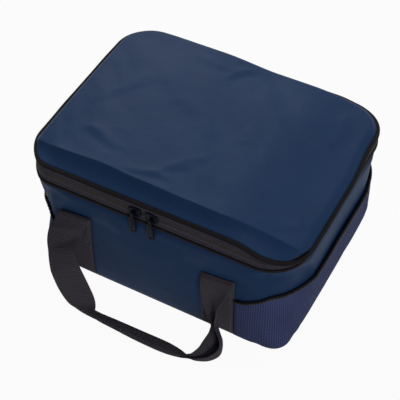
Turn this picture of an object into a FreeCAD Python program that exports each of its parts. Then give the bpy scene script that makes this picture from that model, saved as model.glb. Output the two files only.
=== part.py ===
import FreeCAD, Part
import math
import os
import Sketcher

# Soft insulated lunch box: a padded fabric box with a zipped lid, two mesh side pockets
# and a webbing carry loop on the front and on the back. Millimetres, +Z up, the front
# towards -Y. The origin is the middle of the base, where it stands on the table.

os.makedirs("parts", exist_ok=True)
doc = FreeCAD.newDocument("LunchBox")
sheet = doc.addObject("Spreadsheet::Sheet", "Sizes")
Vector = FreeCAD.Vector

SIZES = {
    # the box, measured over the piping round the rim
    "rim_width": (330, "across the piping, left to right"),
    "rim_depth": (260, "across the piping, front to back"),
    "rim_corner": (44, "plan radius of the piping's outer edge"),
    "rim_overhang": (4.5, "piping stands this far out from the wall fabric"),
    "wall_height": (122, "floor to the middle of the lower piping"),
    "band_height": (22, "middle of the lower piping to middle of the upper piping"),
    "piping_high": (4.4, "height of a piping"),
    "piping_deep": (5.6, "plan depth of a piping"),
    "piping_round": (1.6, "rounding of a piping's edges"),
    # layers, from the outside in
    "fabric": (1.0, "outer polyester with its coating"),
    "play": (0.1, "gap between two layers"),
    "foam": (5.0, "insulating foam"),
    "lining": (0.8, "welded lining"),
    "board": (2.5, "stiffener in the base"),
    "board_inset": (2.0, "base board set in from the wall fabric"),
    "seam_gap": (0.2, "gap between two panels where a strap hides the seam"),
    # the lid
    "lid_inset": (3.2, "lid fabric starts this far inside the piping's outer edge"),
    "shoulder_rise": (7.0, "rim to the crease that borders the top of the lid"),
    "crown_rise": (10.0, "rim to the highest part of the lid"),
    "side_slope": (11.0, "plan width of the slope at the sides and back"),
    "front_slope": (19.0, "plan width of the slope along the front"),
    "crown_inset": (50.0, "crease to the flat middle of the lid"),
    "lid_skin": (1.5, "lid fabric with its wadding, measured upright"),
    # the zip
    "band_inset": (2.0, "tape stands this far inside the piping's outer edge"),
    "tape": (0.8, "woven tape"),
    "coil_high": (2.0, "height of one side of the coil"),
    "coil_thick": (2.4, "coil measured through the tape"),
    "coil_gap": (1.2, "gap between the two sides, where the slider's post runs"),
    "zip_end": (108, "middle of the back to each end of the zip"),
    "tab_width": (9.0, "fabric tab over each zip end"),
    "tab_thick": (1.2, "fabric tab over each zip end"),
    # the two sliders and their pulls
    "slider_spread": (10.5, "middle of the front to each slider"),
    "slider_long": (9.0, "slider along the zip"),
    "slider_high": (8.0, "slider across the zip"),
    "slider_plate": (1.2, "thickness of a slider plate"),
    "slider_play": (0.3, "gap between a slider plate and the coil"),
    "post_long": (3.0, "slider post along the zip"),
    "post_high": (0.8, "slider post across the zip"),
    "crown_bar": (0.65, "radius of the bar that holds the pull"),
    "crown_reach": (2.6, "slider plate to the middle of the bar"),
    "crown_leg": (1.0, "each leg of the crown along the zip"),
    "eye_outer": (2.2, "outer radius of the pull's eye"),
    "eye_play": (0.35, "gap between the bar and the eye"),
    "eye_wide": (2.4, "eye along the bar"),
    "eye_side": (0.4, "gap between the eye and each leg"),
    "pull_long": (27.0, "bar to the tip of the pull"),
    "pull_wide": (6.5, "pull"),
    "pull_thick": (1.6, "pull"),
    "pull_hole": (0.9, "radius of the small hole near the tip"),
    # the webbing
    "webbing": (38.0, "width of the webbing"),
    "webbing_thick": (1.8, "thickness of the webbing"),
    "webbing_spread": (85.0, "middle of the front to the middle of each strap"),
    "anchor_height": (92.0, "floor to the top of the sewn strap"),
    "sewn_play": (0.1, "gap between the sewn strap and the wall"),
    "loop_play": (0.35, "gap between the sewn strap and the free loop"),
    "grip_wide": (19.0, "grip: webbing folded in half and stitched"),
    "grip_thick": (3.8, "grip: two layers and the stitching"),
    "floor_play": (0.4, "lowest edge of the loop above the table"),
    # the mesh side pockets
    "pocket_high": (76.0, "floor to the top of the pocket's binding"),
    "pocket_room": (6.5, "wall to the inside of the mesh"),
    "pocket_gap": (0.2, "gap to the wall where the mesh is sewn down"),
    "mesh": (1.0, "thickness of the mesh"),
    "band_high": (7.0, "height of the pocket's binding"),
    "band_thick": (1.7, "thickness of the pocket's binding"),
}

for row, (alias, (number, meaning)) in enumerate(SIZES.items(), start=1):
    sheet.set(f"A{row}", meaning)
    sheet.set(f"B{row}", str(number))
    sheet.setAlias(f"B{row}", alias)
doc.recompute()


def cells(expression):
    """Name the sheet in front of each alias, so that other objects can read the expression."""
    words = expression.replace("(", " ( ").replace(")", " ) ").split()
    return " ".join(f"Sizes.{w}" if w in SIZES else w for w in words)


def value(expression):
    return float(sheet.evalExpression(cells(expression)))


def bind(thing, prop, expression):
    thing.setExpression(prop, cells(expression))


# heights and outlines that several pieces share, each as a sum of the sheet's sizes
RIM_X = "rim_width / 2"
RIM_Y = "rim_depth / 2"
WALL_X = f"{RIM_X} - rim_overhang"
WALL_Y = f"{RIM_Y} - rim_overhang"
LOW_PIPING = "wall_height - piping_high / 2"
LOW_PIPING_TOP = "wall_height + piping_high / 2"
ZIP_MIDDLE = "wall_height + band_height / 2"
RIM = "wall_height + band_height"
HIGH_PIPING = f"{RIM} - piping_high / 2"
FOAM_INSET = "rim_overhang + fabric + play"
LINING_INSET = f"{FOAM_INSET} + foam + play"
BOARD_BASE = "fabric + play"
FOAM_BASE = f"{BOARD_BASE} + board + play"
LINING_BASE = f"{FOAM_BASE} + foam + play"
COIL_INSET = "band_inset + tape / 2"


def new_body(label):
    body = doc.addObject("PartDesign::Body", label)
    body.Label = label
    return body


def new_sketch(body, role, lift="0 * play"):
    """A sketch on one of the body's own planes, moved along the plane's normal by lift."""
    sketch = body.newObject("Sketcher::SketchObject", body.Label + "_sketch")
    plane = next(f for f in body.Origin.OriginFeatures if f.Role == role)
    sketch.AttachmentSupport = [(plane, "")]
    sketch.MapMode = "FlatFace"
    bind(sketch, "AttachmentOffset.Base.z", lift)
    return sketch


def measure(sketch, name, kind, where, expression):
    """Add a named dimension to the sketch and bind it to the sheet."""
    at = sketch.addConstraint(Sketcher.Constraint(kind, *where, value(expression)))
    sketch.renameConstraint(at, name)
    bind(sketch, f"Constraints.{name}", expression)


def add_rectangle(sketch, west, east, south, north):
    """A rectangle whose four sides are each placed from the sketch's origin."""
    x1, x2, y1, y2 = (value(e) for e in (west, east, south, north))
    corners = [Vector(x1, y1), Vector(x2, y1), Vector(x2, y2), Vector(x1, y2)]
    first = sketch.GeometryCount
    for a, b in zip(corners, corners[1:] + corners[:1]):
        sketch.addGeometry(Part.LineSegment(a, b))
    for n in range(4):
        sketch.addConstraint(Sketcher.Constraint("Coincident", first + n, 2, first + (n + 1) % 4, 1))
        sketch.addConstraint(Sketcher.Constraint("Vertical" if n % 2 else "Horizontal", first + n))
    measure(sketch, f"south_{first}", "DistanceY", (-1, 1, first, 1), south)
    measure(sketch, f"east_{first}", "DistanceX", (-1, 1, first + 1, 1), east)
    measure(sketch, f"north_{first}", "DistanceY", (-1, 1, first + 2, 1), north)
    measure(sketch, f"west_{first}", "DistanceX", (-1, 1, first + 3, 1), west)


def add_outline(sketch, west, east, south, north, radius):
    """A rounded rectangle: four lines and four arcs, tangent all round, anticlockwise."""
    x1, x2, y1, y2, r = (value(e) for e in (west, east, south, north, radius))
    first = sketch.GeometryCount
    lines = [
        ((x1 + r, y1), (x2 - r, y1)),
        ((x2, y1 + r), (x2, y2 - r)),
        ((x2 - r, y2), (x1 + r, y2)),
        ((x1, y2 - r), (x1, y1 + r)),
    ]
    middles = [(x2 - r, y1 + r), (x2 - r, y2 - r), (x1 + r, y2 - r), (x1 + r, y1 + r)]
    for n, ((a, b), c) in enumerate(zip(lines, middles)):
        sketch.addGeometry(Part.LineSegment(Vector(*a), Vector(*b)))
        start = (n - 1) * math.pi / 2
        circle = Part.Circle(Vector(*c), Vector(0, 0, 1), r)
        sketch.addGeometry(Part.ArcOfCircle(circle, start, start + math.pi / 2))
    for n in range(0, 8, 2):
        line, arc, following = first + n, first + n + 1, first + (n + 2) % 8
        sketch.addConstraint(Sketcher.Constraint("Tangent", line, 2, arc, 1))
        sketch.addConstraint(Sketcher.Constraint("Tangent", arc, 2, following, 1))
        sketch.addConstraint(Sketcher.Constraint("Vertical" if n % 4 else "Horizontal", line))
        if n:
            sketch.addConstraint(Sketcher.Constraint("Equal", first + 1, arc))
    measure(sketch, f"south_{first}", "DistanceY", (-1, 1, first, 1), south)
    measure(sketch, f"east_{first}", "DistanceX", (-1, 1, first + 2, 1), east)
    measure(sketch, f"north_{first}", "DistanceY", (-1, 1, first + 4, 1), north)
    measure(sketch, f"west_{first}", "DistanceX", (-1, 1, first + 6, 1), west)
    measure(sketch, f"corner_{first}", "Radius", (first + 1,), radius)


def add_plan(sketch, inset):
    """The rim's outline in plan, moved inwards by inset."""
    x, y = f"{RIM_X} - ({inset})", f"{RIM_Y} - ({inset})"
    add_outline(sketch, f"0 - ({x})", x, f"0 - ({y})", y, f"rim_corner - ({inset})")


def pad(body, sketch, length, both_ways=False):
    feature = body.newObject("PartDesign::Pad", body.Label + "_pad")
    feature.Profile = sketch
    bind(feature, "Length", length)
    if both_ways:
        feature.SideType = "Symmetric"
    return feature


def cut_through(body, sketch):
    """Cut the sketch right through the body both ways, and check that it took something away."""
    doc.recompute()
    before = body.Shape.Volume
    feature = body.newObject("PartDesign::Pocket", body.Label + "_cut")
    feature.Profile = sketch
    feature.Type = "ThroughAll"
    feature.SideType = "Symmetric"
    doc.recompute()
    if body.Shape.Volume >= before:
        raise ValueError(f"the cut in {body.Label} takes nothing away")
    return feature


def edges_of(feature, test):
    return [f"Edge{n}" for n, edge in enumerate(feature.Shape.Edges, start=1) if test(edge)]


def soften(body, feature, kind, prop, size, test):
    """Fillet or chamfer the feature's edges that pass the test."""
    doc.recompute()
    names = edges_of(feature, test)
    if not names:
        raise ValueError(f"no edge to soften on {body.Label}")
    rounded = body.newObject(f"PartDesign::{kind}", f"{body.Label}_{kind}")
    rounded.Base = (feature, names)
    bind(rounded, prop, size)
    return rounded


def level(edge):
    """True for an edge that lies in a horizontal plane."""
    return edge.BoundBox.ZLength < 0.001


def plate(label, base, thick, inset):
    """A flat sheet with the rim's outline, inset all round."""
    body = new_body(label)
    sketch = new_sketch(body, "XY_Plane", base)
    add_plan(sketch, inset)
    pad(body, sketch, thick)
    return body


def ring(label, base, high, inset, thick):
    """An upright wall that follows the rim's outline all the way round."""
    body = new_body(label)
    sketch = new_sketch(body, "XY_Plane", base)
    add_plan(sketch, inset)
    add_plan(sketch, f"{inset} + {thick}")
    wall = pad(body, sketch, high)
    return body, wall


# %% the base: outer fabric, stiffening board and foam, from the table up
plate("base_panel", "0 * play", "fabric", "rim_overhang + fabric + play")
plate("base_board", BOARD_BASE, "board", f"{FOAM_INSET} + board_inset")
plate("base_foam", FOAM_BASE, "foam", LINING_INSET)

# %% the walls: the side panels wrap round the corners, and their seams lie under the webbing
WALL_TOP = f"{LOW_PIPING} - play"
for label, face in (("front_panel", -1), ("back_panel", 1)):
    body = new_body(label)
    outline = new_sketch(body, "XY_Plane")
    near, far = f"0 - ({WALL_Y})", f"0 - ({WALL_Y}) + fabric"
    if face > 0:
        near, far = f"{WALL_Y} - fabric", WALL_Y
    edge = "webbing_spread - seam_gap / 2"
    add_rectangle(outline, f"0 - ({edge})", edge, near, far)
    pad(body, outline, WALL_TOP)

for label, side in (("left_side_panel", -1), ("right_side_panel", 1)):
    body, wall = ring(label, "0 * play", WALL_TOP, "rim_overhang", "fabric")
    cutter = new_sketch(body, "XY_Plane")
    edge = "webbing_spread + seam_gap / 2"
    west, east = f"0 - {RIM_X}", edge
    if side < 0:
        west, east = f"0 - ({edge})", RIM_X
    add_rectangle(cutter, west, east, f"0 - {RIM_Y}", RIM_Y)
    cut_through(body, cutter)

FOAM_TOP = f"{LOW_PIPING} - play"
ring("wall_foam", FOAM_BASE, f"{FOAM_TOP} - ({FOAM_BASE})", FOAM_INSET, "foam")

body = new_body("body_lining")
floor = new_sketch(body, "XY_Plane", LINING_BASE)
add_plan(floor, LINING_INSET)
pad(body, floor, "lining")
walls = new_sketch(body, "XY_Plane", LINING_BASE)
add_plan(walls, LINING_INSET)
add_plan(walls, f"{LINING_INSET} + lining")
pad(body, walls, f"{FOAM_TOP} - ({LINING_BASE})")

# %% the pipings: a bound edge on the body's rim and one on the lid's


def piping(label, base):
    body, wall = ring(label, base, "piping_high", "0 * play", "piping_deep")
    soften(body, wall, "Fillet", "Radius", "piping_round", level)
    return body


piping("body_piping", LOW_PIPING)
piping("lid_piping", HIGH_PIPING)

# %% the zip: tape and coil on each side of the opening, round the front and both sides


def zip_strip(label, base, high, inset, thick, end):
    """A strip that follows the rim except for the hinge, between the zip's two ends."""
    body, wall = ring(label, base, high, inset, thick)
    cutter = new_sketch(body, "XY_Plane")
    add_rectangle(cutter, f"0 - ({end})", end, "0 * play", RIM_Y)
    cut_through(body, cutter)
    return body


TAPE_RUN = "band_height / 2 - piping_high / 2 - coil_gap / 2 - coil_high - 2 * play"
COIL_BASE = f"{ZIP_MIDDLE} - coil_gap / 2 - coil_high"
UPPER_COIL = f"{ZIP_MIDDLE} + coil_gap / 2"
COIL_FACE = f"{COIL_INSET} - coil_thick / 2"
COIL_END = "zip_end + tab_width / 2 + play"
zip_strip("lower_zip_tape", f"{LOW_PIPING_TOP} + play", TAPE_RUN, "band_inset", "tape", "zip_end")
zip_strip("lower_zip_coil", COIL_BASE, "coil_high", COIL_FACE, "coil_thick", COIL_END)
zip_strip("upper_zip_coil", UPPER_COIL, "coil_high", COIL_FACE, "coil_thick", COIL_END)
UPPER_TAPE = f"{UPPER_COIL} + coil_high + play"
zip_strip("upper_zip_tape", UPPER_TAPE, TAPE_RUN, "band_inset", "tape", "zip_end")

# %% the hinge: a strip of the wall fabric between the two pipings, and a tab on each zip end
body = new_body("hinge_strip")
outline = new_sketch(body, "XY_Plane", f"{LOW_PIPING_TOP} + play")
HINGE_NEAR = f"{RIM_Y} - band_inset - fabric"
HINGE_END = "zip_end - seam_gap"
add_rectangle(outline, f"0 - ({HINGE_END})", HINGE_END, HINGE_NEAR, f"{HINGE_NEAR} + fabric")
pad(body, outline, "band_height - piping_high - 2 * play")

for label, side in (("left_zip_end_tab", -1), ("right_zip_end_tab", 1)):
    body = new_body(label)
    outline = new_sketch(body, "XY_Plane", f"{LOW_PIPING_TOP} + play")
    near = f"{RIM_Y} - band_inset + play"
    add_rectangle(outline, "0 - tab_width / 2", "tab_width / 2", near, f"{near} + tab_thick")
    pad(body, outline, "band_height - piping_high - 2 * play")
    bind(body, "Placement.Base.x", f"{side} * zip_end")

# %% the lid: a crowned fabric panel over wadding, and a flat lining under it


def lid_level(body, height, side, front):
    """A section of the lid: the rim's outline inset at the sides and back, and by more in front."""
    sketch = new_sketch(body, "XY_Plane", height)
    x, y = f"{RIM_X} - ({side})", f"{RIM_Y} - ({side})"
    add_outline(sketch, f"0 - ({x})", x, f"({front}) - {RIM_Y}", y, f"rim_corner - ({side}) / 2")
    return sketch


def loft(body, kind, sections):
    feature = body.newObject(f"PartDesign::{kind}", f"{body.Label}_{kind}")
    feature.Profile = sections[0]
    feature.Sections = sections[1:]
    feature.Ruled = True
    return feature


def crown_levels(body, base, drop, inset):
    """The lid's three levels, lowered by drop and moved inwards by inset."""
    shoulder = f"{RIM} + shoulder_rise - ({drop})"
    crown = f"{RIM} + crown_rise - ({drop})"
    side = f"lid_inset + side_slope + {inset}"
    front = f"lid_inset + front_slope + {inset}"
    return [
        lid_level(body, base, f"lid_inset + {inset}", f"lid_inset + {inset}"),
        lid_level(body, shoulder, side, front),
        lid_level(body, crown, f"{side} + crown_inset / 2", f"{front} + crown_inset / 2"),
    ]


LID_BASE = f"{RIM} + piping_high / 2 + play"
LID_LINING_BASE = HIGH_PIPING
WADDING_BASE = f"{LID_LINING_BASE} + lining + play"

body = new_body("lid_panel")
loft(body, "AdditiveLoft", crown_levels(body, LID_BASE, "0 * play", "0 * play"))
doc.recompute()
solid_lid = body.Shape.Volume
loft(body, "SubtractiveLoft", crown_levels(body, LID_BASE, "lid_skin", "2 * lid_skin"))
doc.recompute()
if body.Shape.Volume > solid_lid / 2:
    raise ValueError("the lid panel isn't hollow")

body = new_body("lid_foam")
gap = "lid_skin + play"
foam_inset = "2 * lid_skin + piping_deep - lid_inset + 4 * play"
lower = new_sketch(body, "XY_Plane", WADDING_BASE)
add_plan(lower, f"lid_inset + {foam_inset}")
loft(
    body,
    "AdditiveLoft",
    [lower, *crown_levels(body, LID_BASE, gap, foam_inset)],
)

plate("lid_lining", LID_LINING_BASE, "lining", "piping_deep + play")

# %% the webbing: four straps sewn down the walls, from the base seam to the anchors
STRAP_BACK = f"{WALL_Y} + sewn_play"
for label, side, face in (
    ("front_left_webbing", -1, -1),
    ("front_right_webbing", 1, -1),
    ("back_left_webbing", -1, 1),
    ("back_right_webbing", 1, 1),
):
    body = new_body(label)
    outline = new_sketch(body, "XY_Plane")
    near, far = f"0 - ({STRAP_BACK}) - webbing_thick", f"0 - ({STRAP_BACK})"
    if face > 0:
        near, far = STRAP_BACK, f"{STRAP_BACK} + webbing_thick"
    add_rectangle(outline, "0 - webbing / 2", "webbing / 2", near, far)
    pad(body, outline, "anchor_height")
    bind(body, "Placement.Base.x", f"{side} * webbing_spread")

# %% the side pockets: mesh from strap to strap round each side, with a bound mouth
POCKET_EDGE = "webbing_spread + webbing / 2 + pocket_gap"
BAND_BASE = "pocket_high - band_high"


def pocket_outline(sketch, side_gap, face_gap):
    """The wall's outline, moved out by side_gap at the sides and by face_gap front and back."""
    x, y = f"{WALL_X} + {side_gap}", f"{WALL_Y} + {face_gap}"
    add_outline(
        sketch, f"0 - ({x})", x, f"0 - ({y})", y, f"rim_corner - rim_overhang + {side_gap}"
    )


def pocket_piece(label, base, high, side_gap, face_gap, thick):
    body = new_body(label)
    sketch = new_sketch(body, "XY_Plane", base)
    pocket_outline(sketch, side_gap, face_gap)
    pocket_outline(sketch, f"{side_gap} + {thick}", f"{face_gap} + {thick}")
    pad(body, sketch, high)
    return body


def keep_right_side(body):
    cutter = new_sketch(body, "XY_Plane")
    add_rectangle(cutter, f"0 - {RIM_X} - 2 * pocket_room", POCKET_EDGE, f"0 - {RIM_Y}", RIM_Y)
    cut_through(body, cutter)


for name, turn in (("right", 0), ("left", 180)):
    mesh_high = f"{BAND_BASE} - play"
    body = pocket_piece(
        f"{name}_mesh_pocket", "0 * play", mesh_high, "pocket_room", "pocket_gap", "mesh"
    )
    lip = new_sketch(body, "XY_Plane")
    pocket_outline(lip, "pocket_gap", "pocket_gap")
    pocket_outline(lip, "pocket_room + mesh", "pocket_gap + mesh")
    pad(body, lip, "mesh")
    keep_right_side(body)
    body.Placement.Rotation = FreeCAD.Rotation(Vector(0, 0, 1), turn)

    body = pocket_piece(
        f"{name}_pocket_binding",
        BAND_BASE,
        "band_high",
        "pocket_room - ( band_thick - mesh ) / 2",
        "pocket_gap",
        "band_thick",
    )
    keep_right_side(body)
    body.Placement.Rotation = FreeCAD.Rotation(Vector(0, 0, 1), turn)

# %% the sliders: two plates joined by a post between the coils, and a crown for the pull
PLATE_FACE = "coil_thick / 2 + slider_play"
BAR_OUT = f"{PLATE_FACE} + slider_plate + crown_reach"
LEG_IN = "eye_wide / 2 + eye_side"


def centred(sketch, wide, high):
    add_rectangle(
        sketch, f"0 - ({wide}) / 2", f"({wide}) / 2", f"0 - ({high}) / 2", f"({high}) / 2"
    )


for name, side in (("left", -1), ("right", 1)):
    body = new_body(f"{name}_slider")
    front = new_sketch(body, "XZ_Plane", PLATE_FACE)
    centred(front, "slider_long", "slider_high")
    shell = pad(body, front, "slider_plate")
    post = new_sketch(body, "XZ_Plane", f"0 - ({PLATE_FACE})")
    centred(post, "post_long", "post_high")
    pad(body, post, f"2 * ({PLATE_FACE})")
    rear = new_sketch(body, "XZ_Plane", f"0 - ({PLATE_FACE}) - slider_plate")
    centred(rear, "slider_long", "slider_high")
    pad(body, rear, "slider_plate")
    for hand in (-1, 1):
        leg = new_sketch(body, "XZ_Plane", f"{PLATE_FACE} + slider_plate")
        inner, outer = LEG_IN, f"{LEG_IN} + crown_leg"
        if hand < 0:
            inner, outer = f"0 - ({outer})", f"0 - ({inner})"
        add_rectangle(leg, inner, outer, "0 - crown_bar", "crown_bar")
        pad(body, leg, "crown_reach + crown_bar")
    bar = new_sketch(body, "YZ_Plane")
    bar.addGeometry(Part.Circle(Vector(-value(BAR_OUT), 0), Vector(0, 0, 1), value("crown_bar")))
    bar.addConstraint(Sketcher.Constraint("PointOnObject", 0, 3, -1))
    measure(bar, "bar_out", "DistanceX", (-1, 1, 0, 3), f"0 - ({BAR_OUT})")
    measure(bar, "bar_size", "Radius", (0,), "crown_bar")
    solid = pad(body, bar, f"2 * ({LEG_IN}) + crown_leg", both_ways=True)
    soften(
        body,
        solid,
        "Fillet",
        "Radius",
        "slider_high / 4",
        lambda e: abs(e.BoundBox.YLength - value("slider_plate")) < 0.01
        and e.BoundBox.XLength + e.BoundBox.ZLength < 0.01
        and abs(abs(e.CenterOfMass.x) - value("slider_long / 2")) < 0.01,
    )
    bind(body, "Placement.Base.x", f"{side} * slider_spread")
    bind(body, "Placement.Base.y", f"{COIL_INSET} - {RIM_Y}")
    bind(body, "Placement.Base.z", ZIP_MIDDLE)

    body = new_body(f"{name}_pull")
    eye = new_sketch(body, "YZ_Plane")
    for tag, size in (("eye_size", "eye_outer"), ("eye_bore", "crown_bar + eye_play")):
        at = eye.addGeometry(Part.Circle(Vector(0, 0), Vector(0, 0, 1), value(size)))
        eye.addConstraint(Sketcher.Constraint("Coincident", at, 3, -1, 1))
        measure(eye, tag, "Radius", (at,), size)
    pad(body, eye, "eye_wide", both_ways=True)
    neck = new_sketch(body, "XZ_Plane")
    neck_top = "0 - ( crown_bar + eye_play + eye_outer ) / 2"
    add_rectangle(neck, "0 - eye_wide / 2", "eye_wide / 2", "0 - 3 * eye_outer", neck_top)
    pad(body, neck, "pull_thick", both_ways=True)
    tab = new_sketch(body, "XZ_Plane")
    add_rectangle(
        tab, "0 - pull_wide / 2", "pull_wide / 2", "0 - pull_long", "0 - 2 * eye_outer"
    )
    solid = pad(body, tab, "pull_thick", both_ways=True)
    tip = soften(
        body,
        solid,
        "Fillet",
        "Radius",
        "pull_wide * 0.48",
        lambda e: e.BoundBox.XLength + e.BoundBox.ZLength < 0.01
        and e.CenterOfMass.z < 0.01 - value("pull_long"),
    )
    soften(
        body,
        tip,
        "Chamfer",
        "Size",
        "( pull_wide - eye_wide ) / 2 - play",
        lambda e: e.BoundBox.XLength + e.BoundBox.ZLength < 0.01
        and abs(abs(e.CenterOfMass.x) - value("pull_wide / 2")) < 0.01
        and abs(e.CenterOfMass.z + value("2 * eye_outer")) < 0.01,
    )
    hole = new_sketch(body, "XZ_Plane")
    hole_at = Vector(0, value("pull_wide / 2 - pull_long"))
    hole.addGeometry(Part.Circle(hole_at, Vector(0, 0, 1), value("pull_hole")))
    hole.addConstraint(Sketcher.Constraint("PointOnObject", 0, 3, -2))
    measure(hole, "hole_down", "DistanceY", (-1, 1, 0, 3), "pull_wide / 2 - pull_long")
    measure(hole, "hole_size", "Radius", (0,), "pull_hole")
    cut_through(body, hole)
    bind(body, "Placement.Base.x", f"{side} * slider_spread")
    bind(body, "Placement.Base.y", f"{COIL_INSET} - {RIM_Y} - ({BAR_OUT})")
    bind(body, "Placement.Base.z", ZIP_MIDDLE)

# %% the carry loops: webbing that leaves each anchor flat, folds in half and becomes the grip
# Each station is (outer edge, inner edge, thickness), from the left anchor round the grip to
# the right anchor. An edge is (across, out, up): across from the middle of its own strap, out
# from where the loop lies on the sewn strap, and up as a share of the anchor's height.
FLAT, FOLDING, FOLDED = "webbing_thick", "( webbing_thick + grip_thick ) / 2", "grip_thick"
LEFT_ARM = [
    ((-19, 0, 1.00), (19, 0, 1.00), FLAT),
    ((-20, 10, 0.94), (19, 5, 0.96), FLAT),
    ((-20, 19, 0.89), (19, 10, 0.92), FLAT),
    ((-18, 27, 0.78), (19, 24, 0.86), FLAT),
    ((-13, 35, 0.65), (21, 31, 0.79), FLAT),
    ((-3, 45, 0.50), (31, 35, 0.65), FLAT),
    ((9, 51, 0.33), (43, 42, 0.48), FOLDING),
    ((21, 54, 0.16), (50, 48, 0.34), FOLDING),
    ((35, 54, 0.05), (54, 46, 0.22), FOLDED),
    ((47, 54, 0.04), (60, 41, 0.13), FOLDED),
]
RIGHT_ARM = [
    ((9, 50, 0.05), (2, 36, 0.14), FOLDED),
    ((17, 40, 0.05), (8, 31, 0.19), FOLDED),
    ((20, 28, 0.07), (9, 21, 0.21), FOLDED),
    ((15, 19, 0.19), (-2, 14, 0.29), FOLDED),
    ((10, 13, 0.38), (-12, 9, 0.42), FOLDING),
    ((13, 8, 0.60), (-17, 5, 0.60), FOLDING),
    ((19, 3, 0.82), (-18, 2, 0.82), FLAT),
    ((19, 0, 1.00), (-19, 0, 1.00), FLAT),
]
GRIP_FROM, GRIP_TO, GRIP_OUT, GRIP_TILT = 70, -8, 44, 10
LOOP_FACE = value(f"{STRAP_BACK} + webbing_thick + loop_play + webbing_thick / 2")
ANCHOR = value("anchor_height - webbing_thick / 2")
SPREAD = value("webbing_spread")


def loop_edge(side, across, out, up):
    return Vector(side * SPREAD + across, -LOOP_FACE - out, up * ANCHOR)


def loop_stations():
    """The two edges and the thickness of the webbing all the way along the loop."""
    tilt = math.radians(GRIP_TILT)
    wide, thick = value("grip_wide"), value("grip_thick")
    middle = value("floor_play") + (wide * math.sin(tilt) + thick * math.cos(tilt)) / 2
    half = Vector(0, math.cos(tilt), math.sin(tilt)) * (wide / 2)
    grip = [
        Vector(side * SPREAD + across, -LOOP_FACE - GRIP_OUT, middle)
        for side, across in ((-1, GRIP_FROM), (1, GRIP_TO))
    ]
    arm = [(loop_edge(-1, *a), loop_edge(-1, *b), value(c)) for a, b, c in LEFT_ARM]
    arm += [(at - half, at + half, thick) for at in grip]
    return arm + [(loop_edge(1, *a), loop_edge(1, *b), value(c)) for a, b, c in RIGHT_ARM]


def loop_section(stations, n):
    """The webbing's cross-section at a station, square to the way the loop runs there."""
    outer, inner, thick = stations[n]
    before = stations[max(n - 1, 0)]
    after = stations[min(n + 1, len(stations) - 1)]
    along = (after[0] + after[1]) - (before[0] + before[1])
    face = (inner - outer).cross(along).normalize() * (thick / 2)
    corners = [outer - face, inner - face, inner + face, outer + face]
    return Part.makePolygon(corners + corners[:1])


for name, turn in (("front", 0), ("back", 180)):
    stations = loop_stations()
    sections = [loop_section(stations, n) for n in range(len(stations))]
    loop = doc.addObject("Part::Feature", f"{name}_handle")
    loop.Label = f"{name}_handle"
    loop.Shape = Part.makeLoft(sections, True, True)
    loop.Placement = FreeCAD.Placement(Vector(), FreeCAD.Rotation(Vector(0, 0, 1), turn))


def failures(pieces):
    """Every object that didn't recompute, and every piece without a sound solid."""
    bad = [o.Name for o in doc.Objects if "Invalid" in o.State or "Error" in o.State]
    for part in pieces:
        shape = part.Shape
        if shape.isNull() or not shape.isValid() or not shape.Solids or shape.Volume <= 0:
            bad.append(part.Label)
    return bad


doc.recompute()
pieces = [o for o in doc.Objects if o.TypeId in ("PartDesign::Body", "Part::Feature")]
bad = failures(pieces)
if bad:
    raise ValueError(f"failed: {bad}")
for part in pieces:
    box = part.Shape.BoundBox
    print(
        f"{part.Label:22s} {part.Shape.Volume:10.1f} mm3, {len(part.Shape.Solids)} solid,"
        f" x {box.XMin:.1f}..{box.XMax:.1f} y {box.YMin:.1f}..{box.YMax:.1f}"
        f" z {box.ZMin:.1f}..{box.ZMax:.1f}"
    )
    part.Shape.exportStep(f"parts/{part.Label}.step")
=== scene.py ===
# %% [markdown]
# # A soft lunch box
# This scene dresses a finished frame of solids. The frame says where every panel, strap and
# zip part sits and how it moves; each cell below makes what the eye sees there. The real box
# is sewn from coated polyester over foam, so nearly nothing on it is flat or straight. The
# solids could be rendered as they are, but dead flat cloth looks like plastic, so each soft
# piece gets a shape of its own.

# %% Load the frame
import math

import bmesh
import bpy
import numpy as np
from mathutils import Matrix, Vector, noise
from mathutils.bvhtree import BVHTree


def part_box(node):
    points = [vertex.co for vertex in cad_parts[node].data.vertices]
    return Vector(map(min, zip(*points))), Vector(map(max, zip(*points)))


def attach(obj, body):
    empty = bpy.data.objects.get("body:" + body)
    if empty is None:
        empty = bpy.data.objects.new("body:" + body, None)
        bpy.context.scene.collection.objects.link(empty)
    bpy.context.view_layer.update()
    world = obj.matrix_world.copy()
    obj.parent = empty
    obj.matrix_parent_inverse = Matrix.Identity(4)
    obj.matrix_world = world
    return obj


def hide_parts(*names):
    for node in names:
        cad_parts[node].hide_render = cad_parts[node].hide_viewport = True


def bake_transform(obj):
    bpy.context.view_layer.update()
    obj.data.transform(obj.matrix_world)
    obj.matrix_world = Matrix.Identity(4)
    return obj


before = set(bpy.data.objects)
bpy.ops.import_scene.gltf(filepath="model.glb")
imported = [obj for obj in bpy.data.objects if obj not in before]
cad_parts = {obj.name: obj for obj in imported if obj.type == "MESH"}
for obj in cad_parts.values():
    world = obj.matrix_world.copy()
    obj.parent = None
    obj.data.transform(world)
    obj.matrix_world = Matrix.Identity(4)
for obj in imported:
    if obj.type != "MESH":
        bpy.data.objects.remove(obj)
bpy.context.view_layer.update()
MM = 0.001

# %% [markdown]
# ## Where things are
# Every piece is placed from the frame's own boxes, so the soft pieces and the solids agree.
# The rim is a rounded rectangle seen from above, and most of the box follows it. Places typed
# in by hand would look the same, until a size in the frame changed.

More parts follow.
